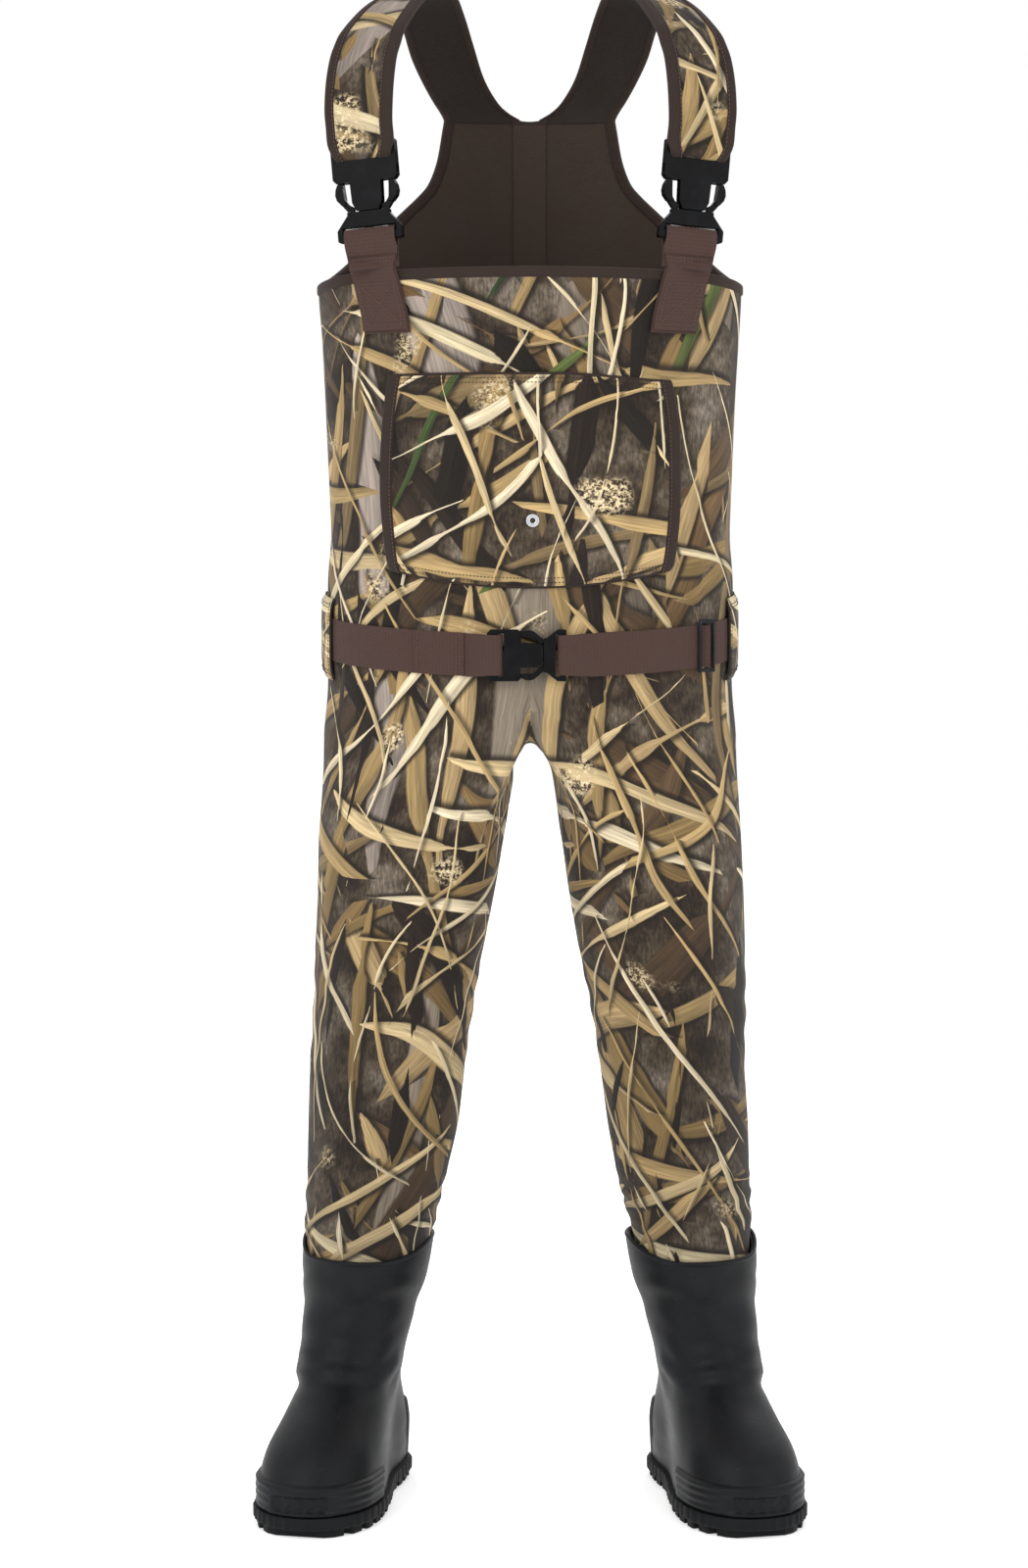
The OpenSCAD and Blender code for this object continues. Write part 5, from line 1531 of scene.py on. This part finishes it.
def band(off0, off1, z0, z1, t0, t1, nt, nz, extra=None):
    """A raised panel on the boot's wall between two turns, as an outer surface."""
    tt, zz = np.meshgrid(np.linspace(t0, t1, nt + 1), np.linspace(z0, z1, nz + 1))
    e = np.full(tt.shape, off1, float)
    edge = np.minimum(np.minimum((zz - z0), (z1 - zz)) / 2.2, 1.0)
    ends = np.minimum(np.minimum((tt - t0), (t1 - tt)) / 0.07, 1.0) if abs(t1 - t0) < 6.2 else 1.0
    e = off0 + (off1 - off0) * np.clip(edge, 0, 1) ** 0.5 * np.clip(ends, 0, 1) ** 0.5
    if extra is not None:
        e = e + extra(tt, zz)
    P = boot_pt(tt, zz, e)
    S = grid_surf(P, np.stack([tt * 0.07, zz / 1000], -1))
    fnm = unit(face_normals(S.V, S.quads))
    if ((S.V[S.quads].mean(1) - ctr)[:, :2] * fnm[:, :2]).sum(1).mean() < 0:
        S.quads, S.quv = S.quads[:, ::-1], S.quv[:, ::-1]
    shared_normals([S])
    return S


def toe_relief(tt, zz):
    """A recess in the middle of the toe guard, with short ribs across it."""
    win = sstep((0.34 - np.abs(tt - math.pi)) / 0.05) * sstep((zz - 18.5) / 2.0) * sstep((32.5 - zz) / 2.0)
    ribs = 0.9 * (np.sin((tt - math.pi) * 2 * math.pi / 0.13 + 1.6 * np.sin(zz * 0.55)) > 0.1)
    return win * (-2.6 + ribs) + 0.35 * np.sin(zz * 2 * math.pi / 6.0) * (1 - win) * sstep((np.abs(tt - math.pi) - 0.38) / 0.05)


def heel_relief(tt, zz):
    a = np.where(tt > math.pi, tt - 2 * math.pi, tt)
    return 0.6 * (np.abs(np.sin(zz * math.pi / 8.0)) > 0.82) * sstep((0.5 - np.abs(a)) / 0.1)


S_toe = band(0.4, 3.2, 15.0, 40.0, math.pi - 1.25, math.pi + 1.25, 150, 30, toe_relief)
S_heel = band(0.3, 2.6, 15.2, 66.0, -0.72, 0.72, 50, 34, heel_relief)
tt_ = np.linspace(0, 2 * math.pi, 361)[:-1]


def boots(side, nm):
    f = (lambda S: S) if side > 0 else mirror_surf
    upper = shell("boot_upper_" + nm, f(S_b), 3.6, [M_RUBBER, M_LINING, M_RUBBER])
    toe = shell("boot_toe_guard_" + nm, f(S_toe), 3.4, [M_RUBBER, M_RUBBER, M_RUBBER])
    heel = shell("boot_heel_guard_" + nm, f(S_heel), 2.9, [M_RUBBER, M_RUBBER, M_RUBBER])
    # ribbed foxing strip round the outsole
    ring = boot_pt(tt_, 11.0, 2.4)
    tang_ = unit(np.roll(ring, -1, 0) - np.roll(ring, 1, 0))
    outn = unit(np.cross(tang_, np.array([0, 0, 1.0])))
    if ((ring - ctr)[:, :2] * outn[:, :2]).sum(1).mean() < 0:
        outn = -outn
    saw = 1.0 + 0.9 * (np.sin(np.arange(360) * 2 * math.pi / 360 * 60) > 0)
    base = np.array([(-1.5, -4.6), (1.2, -4.6), (1.9, -3.6), (2.0, 3.4), (1.3, 4.8), (-1.5, 4.8)])
    secs = np.repeat(base[None], 360, 0)
    secs[:, 1:5, 0] += (saw * 0.75)[:, None]
    if side < 0:
        ring, outn = ring * np.array([-1.0, 1, 1]), outn * np.array([-1.0, 1, 1])
    fox = sweep("boot_foxing_" + nm, ring, outn, np.repeat([[0, 0, 1.0]], 360, 0), secs, [M_SOLE], closed=True, sharp=30)
    # bead round the top edge of the rubber
    topr = S_b.V.reshape(BP.shape)[-1][:-1]
    topn = S_b.N.reshape(BP.shape)[-1][:-1]
    if side < 0:
        topr, topn = topr * np.array([-1.0, 1, 1]), topn * np.array([-1.0, 1, 1])
    upn = np.repeat([[0, 0, 1.0]], len(topr), 0)
    bead = sweep("boot_top_bead_" + nm, topr - topn * 1.0, topn, upn, rounded(3.2, 3.6, 1.4, 3), [M_RUBBER], closed=True, sharp=60)
    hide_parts(nm + "_boot_upper")
    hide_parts(nm + "_boot_toe_bumper")
    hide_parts(nm + "_boot_heel_counter")
    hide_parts(nm + "_boot_seam_band")
    for q in (upper, toe, heel, fox, bead):
        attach(q, nm + "_lower_leg")


boots(1, "left")
boots(-1, "right")
for nm in ("left", "right"):
    dress(nm + "_boot_outsole", M_SOLE_OBJ, 0.0009, 2, 40)
    dress(nm + "_boot_insole", M_FOAM, 0.0008, 2, 40)

# ------------------------------------------------------------------ carried CAD parts
for nm in ("left", "right"):
    for n_, bev in (("_buckle_plug", 0.0007), ("_buckle_socket", 0.0003), ("_latch_arm_outer", 0.0003), ("_latch_arm_inner", 0.0003)):
        dress(nm + n_, M_PLASTIC, bev, 3, 30)
for n_, bev in (("belt_buckle_plug", 0.0006), ("belt_buckle_socket", 0.00025), ("belt_latch_arm_upper", 0.00025), ("belt_latch_arm_lower", 0.00025)):
    dress(n_, M_PLASTIC, bev, 3, 30)
dress("belt_slider", M_SLIDER, 0.0007, 3, 30)
dress("pocket_drain_eyelet", M_METAL, 0.0005, 3, 30)
dress("back_seam_tape", M_TAPE_OBJ, 0.0003, 2, 30)
